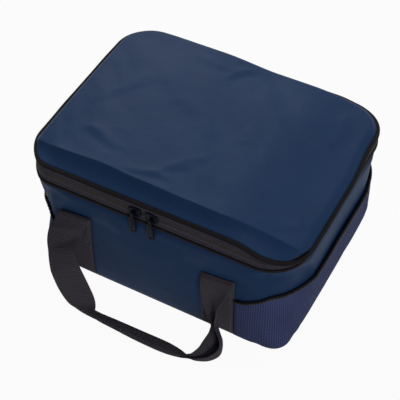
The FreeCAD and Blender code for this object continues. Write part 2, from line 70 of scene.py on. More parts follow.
# %% Sizes read from the frame
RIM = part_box("lid_piping")[1]
RIM_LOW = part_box("body_piping")[1].z
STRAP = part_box("front_right_webbing")
STRAP_MIDDLE = (STRAP[0].x + STRAP[1].x) / 2
STRAP_WIDE = STRAP[1].x - STRAP[0].x
ZIP_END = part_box("right_zip_end_tab")
LINING_INSET = 10.7 * MM  # from the rim's outline in to the lining
RIM_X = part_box("body_lining")[1].x + LINING_INSET
RIM_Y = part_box("body_lining")[1].y + LINING_INSET
CORNER = 44 * MM  # radius of the rim's corners
print(f"rim {2 * RIM_X:.3f} x {2 * RIM_Y:.3f} m, {RIM.z:.3f} m high")

# %% [markdown]
# ## The camera
# The box is seen from above its right front corner, about 45 degrees down, with a long lens.
# A camera can be aimed at a point, but then it stands upright. This one leans very slightly,
# so it is turned by its own right and back directions instead.

# %% Camera
eye = bpy.data.objects.new("camera", bpy.data.cameras.new("camera"))
bpy.context.scene.collection.objects.link(eye)
EYE_AT = Vector((0.387469, -0.737401, 0.877373))
EYE_RIGHT = Vector((0.876855, 0.480598, 0.012265))
EYE_BACK = Vector((0.331512, -0.622930, 0.708561))
turned = Matrix((EYE_RIGHT, EYE_BACK.cross(EYE_RIGHT), EYE_BACK)).transposed()
eye.matrix_world = Matrix.Translation(EYE_AT) @ turned.to_4x4()
eye.data.lens = 93.76  # mm, for a sensor 36 mm wide
eye.data.sensor_width = 36
bpy.context.scene.camera = eye
print(f"camera {EYE_AT.length:.2f} m from the box's base")

# %% [markdown]
# ## Materials
# A material is a small network of nodes. One function adds a node with its settings and its
# links, and every finish below is built with it. Colours are written as sRGB hex, as a
# designer would pick them, and turned to the linear values that the renderer works in. The
# networks could be drawn by hand in the shader editor, but as code they can be read here.

# %% Helpers for materials


def linear(code):
    """An sRGB hex colour as linear red, green, blue and alpha."""
    parts = [int(code[n:n + 2], 16) / 255 for n in (0, 2, 4)]
    parts = [c / 12.92 if c <= 0.04045 else ((c + 0.055) / 1.055) ** 2.4 for c in parts]
    return (*parts, 1.0)


def node(tree, kind, inputs=None, **settings):
    """Add a node. Settings are its properties; each input is a socket to link or a value."""
    made = tree.nodes.new(kind)
    for key, value in settings.items():
        setattr(made, key, value)
    for key, value in (inputs or {}).items():
        if isinstance(value, bpy.types.NodeSocket):
            tree.links.new(value, made.inputs[key])
        else:
            made.inputs[key].default_value = value
    return made


# A Mix node's sockets share their names, so they go by number. For colours these are the share
# of the second colour, the two colours, and the result.
SHARE, COLOUR_A, COLOUR_B, MIXED = 0, 6, 7, 2


def new_material(name, **sockets):
    """A material with one Principled shader, whose plain sockets are set directly."""
    material = bpy.data.materials.new(name)
    material.use_nodes = True
    tree = material.node_tree
    shader = tree.nodes["Principled BSDF"]
    for key, value in sockets.items():
        shader.inputs[key.replace("_", " ")].default_value = value
    print("material", name)
    return material, tree, shader


print("white is", linear("ffffff"), "and half grey is", round(linear("808080")[0], 3))

# %% [markdown]
# Woven patterns need a place on the cloth, not in the room, or the threads would slide as the
# lid turns. Each mesh carries that place as an attribute: metres along the cloth and across it.
# A picture of cloth is the usual other way, but it blurs close up and repeats from afar, while
# a pattern made of waves does neither.

# %% Patterns on cloth


def cloth_place(tree):
    """The place on the cloth: along, across, and both as a vector."""
    place = node(tree, "ShaderNodeAttribute", attribute_name="cloth").outputs["Vector"]
    split = node(tree, "ShaderNodeSeparateXYZ", {0: place})
    return split.outputs[0], split.outputs[1], place


def ridges(tree, coordinate, pitch):
    """A rounded ridge every pitch metres, from 0 to 1."""
    turns = node(tree, "ShaderNodeMath", {0: coordinate, 1: math.pi / pitch}, operation="MULTIPLY")
    wave = node(tree, "ShaderNodeMath", {0: turns.outputs[0]}, operation="SINE")
    return node(tree, "ShaderNodeMath", {0: wave.outputs[0]}, operation="ABSOLUTE").outputs[0]


def plain_weave(tree, along, across, pitch):
    """Threads that pass over and under each other: a checker picks which set is on top."""
    where = node(tree, "ShaderNodeCombineXYZ", {0: along, 1: across})
    checker = node(tree, "ShaderNodeTexChecker", {"Vector": where.outputs[0], "Scale": 1 / pitch})
    inputs = {0: checker.outputs["Fac"], 2: ridges(tree, across, pitch), 3: ridges(tree, along, pitch)}
    return node(tree, "ShaderNodeMix", inputs, data_type="FLOAT").outputs[0]


print("patterns: ridges, and a plain weave made of two sets of them")

# %% [markdown]
# ### Coated polyester
# The outer fabric is a plain weave of fine navy polyester yarn with a thin waterproof coating
# on its back. The yarns are about 0.3 mm apart, too fine to see here, so the weave is drawn
# at 1.2 mm. The coating stiffens the cloth, so its sheen is soft and broad, and small creases
# catch the light. Handling leaves slightly lighter and darker patches, which a slow noise gives.
# Threads could be modelled one by one, but that takes millions of faces, so the weave only
# tilts the light and tints the colour lighter on each yarn's crown than in the dips between
# yarns, a painted highlight and shade, and the large folds are left to the pieces' shapes.

# %% Coated navy polyester
navy_polyester, tree, shader = new_material(
    "coated_polyester_plain_weave", Roughness=0.5, IOR=1.5, Sheen_Weight=0.02,
    Sheen_Roughness=0.5, Specular_IOR_Level=0.055,
)
shader.inputs["Sheen Tint"].default_value = linear("8fa6cc")
along, across_cloth, place = cloth_place(tree)
weave = plain_weave(tree, along, across_cloth, 1.2 * MM)
noise_patches = node(tree, "ShaderNodeTexNoise", {"Vector": place, "Scale": 0.5 / (45 * MM), "Detail": 3.0})
# The weave's crowns are painted lighter than its dips: painted highlight and shade.
yarn = node(
    tree, "ShaderNodeMix",
    {SHARE: weave, COLOUR_A: linear("1c3352"), COLOUR_B: linear("213b60")},
    data_type="RGBA",
)
rubbed = node(
    tree, "ShaderNodeMix",
    {SHARE: weave, COLOUR_A: linear("182d4b"), COLOUR_B: linear("1d3557")},
    data_type="RGBA",
)
shade = node(
    tree, "ShaderNodeMix",
    {SHARE: noise_patches.outputs["Fac"], COLOUR_A: rubbed.outputs[MIXED], COLOUR_B: yarn.outputs[MIXED]},
    data_type="RGBA",
)
tree.links.new(shade.outputs[MIXED], shader.inputs["Base Color"])
creased = node(tree, "ShaderNodeTexNoise", {"Vector": place, "Scale": 0.5 / (14 * MM), "Detail": 2.0})
slow = node(
    tree, "ShaderNodeBump", {"Height": creased.outputs["Fac"], "Distance": 2.2 * MM, "Strength": 0.5}
)
fine = node(
    tree, "ShaderNodeBump",
    {"Height": weave, "Distance": 0.06 * MM, "Strength": 0.6, "Normal": slow.outputs["Normal"]},
)
tree.links.new(fine.outputs["Normal"], shader.inputs["Normal"])

# %% [markdown]
# ### Webbing
# The straps are 38 mm polypropylene webbing, woven thick from dull black yarn. Its face shows
# rows of small blocks about 1.5 mm across, where the yarns cross. The colour is painted lighter
# on the blocks' tops and darker between them, a painted highlight and shade, and slack yarns
# shine a little where hands rub them, which a slow noise paints as lighter patches, a painted
# sheen. The blocks could be modelled, but they are under half a millimetre high, so a bump is
# enough, and only the edges and folds are real shape.

# %% Woven black webbing
black_webbing, tree, shader = new_material(
    "polypropylene_webbing_woven", Roughness=0.75, IOR=1.49, Sheen_Weight=0.12,
    Sheen_Roughness=0.4, Specular_IOR_Level=0.08,
)
shader.inputs["Sheen Tint"].default_value = linear("a8a6b0")
along, across_cloth, place = cloth_place(tree)
weave = plain_weave(tree, along, across_cloth, 1.6 * MM)
ribs = ridges(tree, along, 2.4 * MM)
# raised is the height of ribs and blocks: it drives the bump and paints their tops lighter and the gaps
# darker, a painted highlight and shade.
raised = node(tree, "ShaderNodeMath", {0: ribs, 1: 0.9, 2: weave}, operation="MULTIPLY_ADD").outputs[0]
# A slow noise lightens patches of the colour: a painted sheen where hands rub the yarns.
noise_patches = node(tree, "ShaderNodeTexNoise", {"Vector": place, "Scale": 0.5 / (30 * MM), "Detail": 2.0})
tone = node(tree, "ShaderNodeMath", {0: raised, 1: 0.55, 2: -0.35}, operation="MULTIPLY_ADD")
tone = node(
    tree, "ShaderNodeMath", {0: noise_patches.outputs["Fac"], 1: 0.5, 2: tone.outputs[0]},
    operation="MULTIPLY_ADD", use_clamp=True,
)
yarn = node(
    tree, "ShaderNodeMix",
    {SHARE: tone.outputs[0], COLOUR_A: linear("1e1d22"), COLOUR_B: linear("56525b")},
    data_type="RGBA",
)
tree.links.new(yarn.outputs[MIXED], shader.inputs["Base Color"])
bump = node(tree, "ShaderNodeBump", {"Height": raised, "Distance": 0.4 * MM, "Strength": 0.9})
tree.links.new(bump.outputs["Normal"], shader.inputs["Normal"])

# %% [markdown]
# ### Grosgrain binding
# A ribbed polyester tape is folded over each raw edge and sewn down. Its ribs run across the
# tape, about 0.7 mm apart, drawn here at 1.4 mm so that they show. They are a bump too, and the
# colour is painted lighter on their tops than in the valleys between them, more in some patches
# than others: a painted highlight and shade.

# %% Grosgrain binding
black_binding, tree, shader = new_material(
    "grosgrain_binding_tape", Roughness=0.75, IOR=1.5, Sheen_Weight=0.05, Specular_IOR_Level=0.05,
)
along, across_cloth, place = cloth_place(tree)
ribs = ridges(tree, along, 1.4 * MM)
noise_patches = node(tree, "ShaderNodeTexNoise", {"Vector": place, "Scale": 0.5 / (20 * MM), "Detail": 2.0})
# Rib tops are painted lighter than the valleys, more in some noise patches than others: painted highlight and
# shade.
tone = node(tree, "ShaderNodeMath", {0: ribs, 1: noise_patches.outputs["Fac"]}, operation="MULTIPLY", use_clamp=True)
yarn = node(
    tree, "ShaderNodeMix",
    {SHARE: tone.outputs[0], COLOUR_A: linear("0e0d10"), COLOUR_B: linear("282427")},
    data_type="RGBA",
)
tree.links.new(yarn.outputs[MIXED], shader.inputs["Base Color"])
bump = node(tree, "ShaderNodeBump", {"Height": ribs, "Distance": 0.15 * MM, "Strength": 0.7})
tree.links.new(bump.outputs["Normal"], shader.inputs["Normal"])

# %% [markdown]
# ### Zip tape
# The tape is a fine herringbone twill in brown-black polyester, with its edge yarns packed
# into ridges that run along the zip. The ridges are in the tape's shape as well, because they
# are large enough to shade each other, and the colour is darkened in the valleys between them,
# a painted shade. The twill is only drawn, at 1.3 mm, about twice its real size, with its
# slanting ridges painted lighter than their gaps, a painted highlight.

# %% Twill zip tape
TAPE_OVERLAP = 0.6 * MM  # how far a tape runs on past its solid, under the piping and the coil
TAPE_RIDGES = 3
TAPE_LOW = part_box("lower_zip_tape")[0].z - TAPE_OVERLAP
TAPE_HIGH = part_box("lower_zip_tape")[1].z + TAPE_OVERLAP
TAPE_RIDGE = (TAPE_HIGH - TAPE_LOW) / TAPE_RIDGES
zip_tape, tree, shader = new_material(
    "twill_zip_tape", Roughness=0.7, IOR=1.5, Sheen_Weight=0.06, Specular_IOR_Level=0.1,
)
along, across_cloth, place = cloth_place(tree)
slant = node(tree, "ShaderNodeMath", {0: across_cloth, 1: 1.6, 2: along}, operation="MULTIPLY_ADD")
twill = ridges(tree, slant.outputs[0], 1.3 * MM)
# lines darkens the colour in the valleys between the tape's ridges: painted shade.
lines = ridges(tree, across_cloth, TAPE_RIDGE)
# The twill's ridges are painted lighter than its gaps: painted highlight.
tone = node(tree, "ShaderNodeMath", {0: twill, 1: 0.4, 2: 0.6}, operation="MULTIPLY_ADD")
tone = node(tree, "ShaderNodeMath", {0: tone.outputs[0], 1: lines}, operation="MULTIPLY")
yarn = node(
    tree, "ShaderNodeMix",
    {SHARE: tone.outputs[0], COLOUR_A: linear("18171d"), COLOUR_B: linear("544f5b")},
    data_type="RGBA",
)
tree.links.new(yarn.outputs[MIXED], shader.inputs["Base Color"])
bump = node(tree, "ShaderNodeBump", {"Height": tone.outputs[0], "Distance": 0.2 * MM, "Strength": 0.8})
tree.links.new(bump.outputs["Normal"], shader.inputs["Normal"])

# %% [markdown]
# ### Nylon coil
# The teeth are one nylon monofilament wound into a coil and dyed black. Nylon has a smooth,
# slightly waxy shine, and dye takes unevenly on it. The teeth are modelled one by one further
# down, so this finish needs no pattern of its own, only two close shades and a noise.

# %% Nylon coil
nylon_coil, tree, shader = new_material(
    "nylon_monofilament_coil", Roughness=0.35, IOR=1.53, Specular_IOR_Level=0.2,
)
along, across_cloth, place = cloth_place(tree)
dye = node(tree, "ShaderNodeTexNoise", {"Vector": place, "Scale": 0.5 / (4 * MM), "Detail": 2.0})
shade = node(
    tree, "ShaderNodeMix",
    {SHARE: dye.outputs["Fac"], COLOUR_A: linear("171415"), COLOUR_B: linear("2b2524")},
    data_type="RGBA",
)
tree.links.new(shade.outputs[MIXED], shader.inputs["Base Color"])

# %% [markdown]
# ### Painted zinc
# Sliders and pulls are cast in zinc and sprayed with a semi-gloss black paint. Paint has a
# clear shine, and it rubs thin on handled faces, so the roughness varies in small patches.
# A metal shader would be right for bare zinc, but paint hides the metal, so it is a plain
# coloured gloss.

# %% Painted zinc
painted_zinc, tree, shader = new_material(
    "zinc_casting_black_paint", IOR=1.5, Specular_IOR_Level=0.05,
)
where = node(tree, "ShaderNodeTexCoord").outputs["Object"]
rubbed = node(tree, "ShaderNodeTexNoise", {"Vector": where, "Scale": 0.5 / (2 * MM), "Detail": 4.0})
shade = node(
    tree, "ShaderNodeMix",
    {SHARE: rubbed.outputs["Fac"], COLOUR_A: linear("060812"), COLOUR_B: linear("121628")},
    data_type="RGBA",
)
tree.links.new(shade.outputs[MIXED], shader.inputs["Base Color"])
gloss = node(
    tree, "ShaderNodeMapRange", {"Value": rubbed.outputs["Fac"], "To Min": 0.17, "To Max": 0.36}
)
tree.links.new(gloss.outputs[0], shader.inputs["Roughness"])
grain = node(tree, "ShaderNodeTexNoise", {"Vector": where, "Scale": 0.5 / (0.6 * MM), "Detail": 2.0})
bump = node(tree, "ShaderNodeBump", {"Height": grain.outputs["Fac"], "Distance": 0.03 * MM, "Strength": 0.5})
tree.links.new(bump.outputs["Normal"], shader.inputs["Normal"])

# %% [markdown]
# ### Knitted mesh
# The pockets are a warp-knitted polyester mesh: a fine grid of grey-violet yarn with holes a
# little over a millimetre across, through which the navy wall shows. Real holes could be cut,
# but a wall lies right behind them, so they are drawn as navy squares in the yarn's grid, with
# the yarn proud of them. They lie 2.5 and 2.2 mm apart, coarser than real ones, so they show.

# %% Knitted pocket mesh
pocket_mesh, tree, shader = new_material(
    "warp_knitted_polyester_mesh", Roughness=0.85, IOR=1.5, Sheen_Weight=0.04, Specular_IOR_Level=0.03,
)
along, across_cloth, place = cloth_place(tree)
hole = node(
    tree, "ShaderNodeMath", {0: ridges(tree, along, 2.5 * MM), 1: ridges(tree, across_cloth, 2.2 * MM)},
    operation="MULTIPLY",
).outputs[0]
noise_patches = node(tree, "ShaderNodeTexNoise", {"Vector": place, "Scale": 0.5 / (26 * MM), "Detail": 3.0})
tone = node(tree, "ShaderNodeMath", {0: noise_patches.outputs["Fac"], 1: 0.5, 2: -0.25}, operation="MULTIPLY_ADD")
tone = node(tree, "ShaderNodeMath", {0: hole, 1: tone.outputs[0]}, operation="ADD", use_clamp=True)
yarn = node(
    tree, "ShaderNodeMix",
    {SHARE: tone.outputs[0], COLOUR_A: linear("4e567f"), COLOUR_B: linear("192544")},
    data_type="RGBA",
)
tree.links.new(yarn.outputs[MIXED], shader.inputs["Base Color"])
sunk = node(tree, "ShaderNodeMath", {0: 1.0, 1: hole}, operation="SUBTRACT")
bump = node(tree, "ShaderNodeBump", {"Height": sunk.outputs[0], "Distance": 0.3 * MM, "Strength": 0.7})
tree.links.new(bump.outputs["Normal"], shader.inputs["Normal"])

# %% [markdown]
# ### Lining
# Inside is a smooth silver-grey film bonded to a light cloth, wiped clean easily and faintly
# creased where it was folded for sewing. It is shinier than the outside. Simulated film would
# crease by itself, but wrinkles this fine need a very dense mesh, so a noise bump makes them,
# and the same noise paints the film darker in their hollows and lighter on their ridges, a
# painted shade and highlight.

# %% Lining film
lining_film, tree, shader = new_material(
    "laminated_lining_film", Roughness=0.5, IOR=1.5, Specular_IOR_Level=0.2,
)
along, across_cloth, place = cloth_place(tree)
creases = node(tree, "ShaderNodeTexNoise", {"Vector": place, "Scale": 0.5 / (9 * MM), "Detail": 4.0})
# The film is painted darker in the creases' hollows and lighter on their ridges: painted shade and highlight.
shade = node(
    tree, "ShaderNodeMix",
    {SHARE: creases.outputs["Fac"], COLOUR_A: linear("989ba3"), COLOUR_B: linear("c2c5cc")},
    data_type="RGBA",
)
tree.links.new(shade.outputs[MIXED], shader.inputs["Base Color"])
bump = node(tree, "ShaderNodeBump", {"Height": creases.outputs["Fac"], "Distance": 0.9 * MM, "Strength": 0.5})
tree.links.new(bump.outputs["Normal"], shader.inputs["Normal"])

# %% [markdown]
# ### Foam, board and thread
# The foam is closed-cell polyethylene, white and dry, with cells about 1.5 mm across. The base
# board is a ribbed plastic sheet. The thread is bonded black polyester, smoother than the
# cloth it lies on. Foam and board are hidden until the box is taken apart, so each has just
# one pattern: cells for the foam, and ribs for the board. Each pattern is a bump and also
# paints the colour darker in its hollows and lighter on its ridges, a painted shade and
# highlight.

# %% Foam, board and thread
foam, tree, shader = new_material("closed_cell_polyethylene_foam", Roughness=0.9, IOR=1.5)
where = node(tree, "ShaderNodeTexCoord").outputs["Object"]
cells = node(tree, "ShaderNodeTexVoronoi", {"Vector": where, "Scale": 1 / (1.5 * MM)}).outputs["Distance"]
# The cells' hollows are painted darker than their walls: painted shade.
shade = node(
    tree, "ShaderNodeMix",
    {SHARE: cells, COLOUR_A: linear("d9d8d2"), COLOUR_B: linear("efeeea")},
    data_type="RGBA",
)
tree.links.new(shade.outputs[MIXED], shader.inputs["Base Color"])
bump = node(tree, "ShaderNodeBump", {"Height": cells, "Distance": 0.2 * MM, "Strength": 0.5})
tree.links.new(bump.outputs["Normal"], shader.inputs["Normal"])

base_board, tree, shader = new_material("hollow_polypropylene_board", Roughness=0.5, IOR=1.49)
where = node(tree, "ShaderNodeTexCoord").outputs["Object"]
ribs = ridges(tree, node(tree, "ShaderNodeSeparateXYZ", {0: where}).outputs[0], 4 * MM)
# The ribs' tops are painted lighter than their grooves: painted highlight and shade.
shade = node(
    tree, "ShaderNodeMix",
    {SHARE: ribs, COLOUR_A: linear("1f2022"), COLOUR_B: linear("2c2d30")},
    data_type="RGBA",
)
tree.links.new(shade.outputs[MIXED], shader.inputs["Base Color"])
bump = node(tree, "ShaderNodeBump", {"Height": ribs, "Distance": 0.2 * MM, "Strength": 0.6})
tree.links.new(bump.outputs["Normal"], shader.inputs["Normal"])

thread, tree, shader = new_material("bonded_polyester_thread", Roughness=0.5, IOR=1.5, Sheen_Weight=0.2)
where = node(tree, "ShaderNodeTexCoord").outputs["Object"]
lay = node(tree, "ShaderNodeTexNoise", {"Vector": where, "Scale": 0.5 / (1 * MM), "Detail": 2.0})
shade = node(
    tree, "ShaderNodeMix",
    {SHARE: lay.outputs["Fac"], COLOUR_A: linear("1d1c20"), COLOUR_B: linear("3a3940")},
    data_type="RGBA",
)
tree.links.new(shade.outputs[MIXED], shader.inputs["Base Color"])
print(len(bpy.data.materials), "materials")

# %% [markdown]
# ## Following the rim
# Walls, pipings, tapes and pockets all follow one line round the box. The line is a list of
# stations, each with a point on the rim and the direction that faces straight out. Moving in
# by an inset is then one subtraction, in the corners too. A curve object could carry the line,
# but a plain list can be filtered, measured and moved row by row.

# %% Stations round the rim


def rim_stations(step):
    """Points, outward directions and distances round the rim, anticlockwise from the back's middle."""
    flat_x, flat_y = RIM_X - CORNER, RIM_Y - CORNER
    corners = [(-flat_x, flat_y, 90), (-flat_x, -flat_y, 180), (flat_x, -flat_y, 270), (flat_x, flat_y, 0)]
    points, faces = [], []

    def straight(start, end, face):
        count = max(2, round(math.dist(start, end) / step))
        for n in range(count):
            points.append(np.array(start) + (np.array(end) - start) * n / count)
            faces.append(face)

    def bend(middle_x, middle_y, first):
        count = max(6, round(CORNER * math.pi / 2 / (0.8 * step)))
        for n in range(count):
            angle = math.radians(first + 90 * n / count)
            face = np.array((math.cos(angle), math.sin(angle)))
            points.append(np.array((middle_x, middle_y)) + face * CORNER)
            faces.append(face)

    straight((0, RIM_Y), (-flat_x, RIM_Y), (0, 1))
    bend(*corners[0])
    straight((-RIM_X, flat_y), (-RIM_X, -flat_y), (-1, 0))
    bend(*corners[1])
    straight((-flat_x, -RIM_Y), (flat_x, -RIM_Y), (0, -1))
    bend(*corners[2])
    straight((RIM_X, -flat_y), (RIM_X, flat_y), (1, 0))
    bend(*corners[3])
    straight((flat_x, RIM_Y), (0, RIM_Y), (0, 1))
    points, faces = np.array(points, float), np.array(faces, float)
    gaps = np.linalg.norm(np.roll(points, -1, axis=0) - points, axis=1)
    return points, faces, np.concatenate([[0], np.cumsum(gaps)])


print(len(rim_stations(5 * MM)[0]), "stations at 5 mm")

# %% [markdown]
# ### How the soft box has slumped
# A used soft box doesn't stand square: its corners lean, and its lid sinks where nothing holds
# it up. The whole box could be simulated under its own weight, but that would find other leans,
# so one function moves any point from the stiff frame to where the soft box has it.

# %% Slump


def smooth(t):
    """A soft step from 0 at t = 0 to 1 at t = 1, level at both ends."""
    t = np.clip(t, 0, 1)
    return t * t * (3 - 2 * t)


# How far the soft box has slumped, in mm.
LEAN_AT_RIM, LEAN_BELOW = 16, 12  # front left corner, inwards, and how much more below the rim
LEAN_BACK_RIGHT = 3  # back right corner, inwards
SINK_RIGHT, SINK_LESS_BACK = 13, 5  # the lid's right end, and how much less at its back
SINK_AT_BACK = 4.5  # the lid's back edge, right of its middle
SPILL_RIGHT = 4.5  # the lid's front right edge, outwards
SQUARER = 7  # the base's corners, outwards along the diagonal
EACH_WAY = 0.7  # share of a diagonal move that goes along x, and along y


def slump(points):
    """Move points of the stiff frame to where the soft box has them. The front left corner leans
    in, the lid sinks on the right so that the zip folds up there, and the base is squarer."""
    p = np.array(points, float)
    x, y, z = p[..., 0].copy(), p[..., 1].copy(), p[..., 2].copy()
    ahead = np.clip((RIM_Y - y) / (2 * RIM_Y), 0, 1)
    to_left = smooth((-x - 100 * MM) / (65 * MM))
    to_right = smooth((x - 100 * MM) / (65 * MM))
    below_rim = smooth((112 * MM - z) / (55 * MM))
    lean = to_left * ahead ** 1.3 * (LEAN_AT_RIM + LEAN_BELOW * below_rim) * MM
    lean = lean - to_right * (1 - ahead) * LEAN_BACK_RIGHT * MM
    at_zip, at_top = smooth((x - 97 * MM) / (59 * MM)), smooth((x - 70 * MM) / (85 * MM))
    at_right = at_zip + (at_top - at_zip) * smooth((z - RIM.z) / (8 * MM))
    sunk = at_right * (SINK_RIGHT - SINK_LESS_BACK * (1 - ahead)) * MM
    right_of_middle = smooth((x + 40 * MM) / (70 * MM)) * smooth((165 * MM - x) / (50 * MM))
    at_back = right_of_middle * smooth((y - 50 * MM) / (80 * MM))
    sunk = sunk + SINK_AT_BACK * MM * at_back
    up_zip = smooth((z - RIM_LOW - 1 * MM) / (21 * MM))
    at_front_right = smooth((x - 120 * MM) / (40 * MM)), smooth((75 * MM - y) / (70 * MM))
    spill = SPILL_RIGHT * MM * at_front_right[0] * at_front_right[1] * up_zip
    corner_x, corner_y = np.abs(x) - (RIM_X - CORNER), np.abs(y) - (RIM_Y - CORNER)
    in_corner = (corner_x > 0) & (corner_y > 0)
    diagonal = np.where(in_corner, 4 * corner_x * corner_y / (corner_x**2 + corner_y**2 + 1e-12) - 1, 0)
    near_base = smooth((75 * MM - z) / (75 * MM))
    square = SQUARER * MM * np.clip(diagonal, 0, 1) * near_base * EACH_WAY
    p[..., 0] = x + lean + spill + np.sign(x) * square
    p[..., 1] = y + np.sign(y) * square
    p[..., 2] = z - sunk * up_zip
    return p


foot = slump((-RIM_X, -RIM_Y, 0))
print(f"the front left foot leans in by {(foot[0] + RIM_X) * 1000:.0f} mm")

# %% [markdown]
# ## Making meshes from rows of points
# Nearly every piece is a grid of points: stations one way, a cross-section the other. One
# function turns such a grid into a mesh and writes the cloth's own coordinates on it, so that
# weaves and ribs run along the cloth and not along the world. Blender's own tools can sweep a
# section along a curve too, but they don't write those coordinates.

# %% From points to a mesh


def grid_object(name, rows, round_rows=False, round_across=False, cloth=None, capped=False, welded=False):
    """A mesh from rows[i][j]. The cloth coordinates have one more row or column where it closes.
    Welded joins points that meet, as in the middle of a disc."""
    rows = np.array(rows, float)
    n, m = rows.shape[:2]
    cloth = np.array(cloth, float)
    quads, corners = [], []
    for i in range(n if round_rows else n - 1):
        for j in range(m if round_across else m - 1):
            ring = [(i, j), (i + 1, j), (i + 1, j + 1), (i, j + 1)]
            quads.append([(a % n) * m + b % m for a, b in ring])
            corners.append([tuple(cloth[a, b]) for a, b in ring])
    if capped:
        for i in (0, n - 1):
            quads.append([i * m + j for j in range(m)])
            corners.append([tuple(cloth[i, j]) for j in range(m)])
    mesh = bpy.data.meshes.new(name)
    mesh.from_pydata(rows.reshape(-1, 3).tolist(), [], quads)
    layer = mesh.attributes.new("cloth", "FLOAT_VECTOR", "CORNER")
    flat = [(c[0], c[1], 0.0) for face in corners for c in face]
    layer.data.foreach_set("vector", np.array(flat, np.float32).ravel())
    return finished_object(name, mesh, welded)


def finished_object(name, mesh, welded=False):
    """Put a mesh in the scene with its faces outwards and smoothly shaded."""
    work = bmesh.new()
    work.from_mesh(mesh)
    if welded:
        bmesh.ops.remove_doubles(work, verts=work.verts, dist=0.01 * MM)
    bmesh.ops.recalc_face_normals(work, faces=work.faces)
    work.to_mesh(mesh)
    work.free()
    mesh.shade_smooth()
    made = bpy.data.objects.new(name, mesh)
    bpy.context.scene.collection.objects.link(made)
    return made


print("every grid of points carries its cloth coordinates")

# %% [markdown]
# ### Sections carried round the rim
# The wall, pipings and tapes each keep one cross-section all the way round. A curve with a bevel
# could carry it, but its rows couldn't be moved one by one afterwards. So a section is a list of
# points, each an inset and a height, that is set down again at every station.

# %% Sweep a section round the rim


def tube_faces(first, rings, sides):
    """Faces of a short closed tube whose rings of vertices follow each other from first."""
    faces = []
    for ring in range(rings - 1):
        for k in range(sides):
            a, b = first + ring * sides + k, first + ring * sides + (k + 1) % sides
            faces.append((a, b, b + sides, a + sides))
    last = first + (rings - 1) * sides
    faces.append(tuple(range(first + sides - 1, first - 1, -1)))
    faces.append(tuple(range(last, last + sides)))
    return faces


def distances(line):
    """How far along a line each of its points is."""
    return np.concatenate([[0], np.cumsum(np.linalg.norm(np.diff(line, axis=0), axis=1))])


def across(section):
    """Distances along a cross-section, closed back to its start."""
    loop = np.vstack([section, section[:1]])
    return distances(loop)


def round_section(inset, out, low, high, softness=0.45, count=14):
    """A flattened, rounded cross-section as (inset, height) points: the edge of folded tape."""
    middle_in, middle_up = (inset + out) / 2, (low + high) / 2
    half_in, half_up = abs(inset - out) / 2, (high - low) / 2
    angles = np.linspace(0, 2 * math.pi, count, endpoint=False)

    def squared(v):
        return np.sign(v) * np.abs(v) ** softness

    inwards = middle_in + half_in * squared(np.cos(angles))
    return np.stack([inwards, middle_up + half_up * squared(np.sin(angles))], 1)


def on_rim(points, faces, section):
    """Rows of points: the cross-section, (inset, height), at each station."""
    section = np.array(section, float)
    plan = points[:, None] - faces[:, None] * section[None, :, :1]
    height = np.broadcast_to(section[None, :, 1:], (*plan.shape[:2], 1))
    return np.concatenate([plan, height], 2)


def sweep(name, section, step=5 * MM, keep=None, closed=True, wobble=None):
    """Carry a cross-section round the rim, or over the stations that keep picks, in order."""
    points, faces, run = rim_stations(step)
    whole = keep is None
    picked = np.arange(len(points)) if whole else np.flatnonzero(keep(points))
    rows = on_rim(points[picked], faces[picked], section)
    if wobble is not None:
        rows = wobble(rows, run[picked], faces[picked])
    rows = slump(rows)
    runs = np.append(run[picked], run[-1]) if whole else run[picked]
    cross = across(np.array(section)) if closed else across(np.array(section))[:-1]
    cloth = np.stack(np.meshgrid(runs, cross, indexing="ij"), 2)
    return grid_object(name, rows, whole, closed, cloth, capped=closed and not whole)


print("a folded tape's section has", len(round_section(0, 5 * MM, 0, 4 * MM)), "points")

# %% [markdown]
# ### Finish, body and unevenness
# Each piece is told its finish, the body that it moves with and the solids that it stands for.
# Nothing sewn is quite even. Random numbers could give that, but a smooth noise of the place
# itself keeps neighbours alike, and gives the same box each time.

# %% Dress a piece


def dress(piece, material, slot, body, *nodes):
    """Give a piece its finish, its body and the nodes it stands for."""
    piece.data.materials.clear()
    piece.data.materials.append(material)
    if nodes:
        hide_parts(*nodes)
    if body:
        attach(piece, body)
    return piece


def wander(point, size, seed=0.0):
    """A smooth, repeatable value between about -1 and 1 that changes over size metres."""
    return noise.noise(Vector(point) / size + Vector((seed, 7.3 * seed, 1.9 * seed)))


strays = [wander((x * MM, 0, 0), 30 * MM) for x in range(0, 300, 5)]
print(f"noise from {min(strays):.2f} to {max(strays):.2f} along the front")


# %% [markdown]
# ## Cloth under pressure
# Fabric sewn round foam isn't flat: it swells between its seams and pulls tight along them.
# Blender's cloth solver finds that shape. The piece is pinned along its seams, a little
# pressure is put inside, gravity is off, and after twenty frames the result is read back.
# No point may move further than a cap, so that the piece keeps clear of its neighbours. The
# swell could be sculpted by hand, but the solver finds curves with the same cause as real ones.

# %% Swell a piece


CLOTH_FRAMES = 20


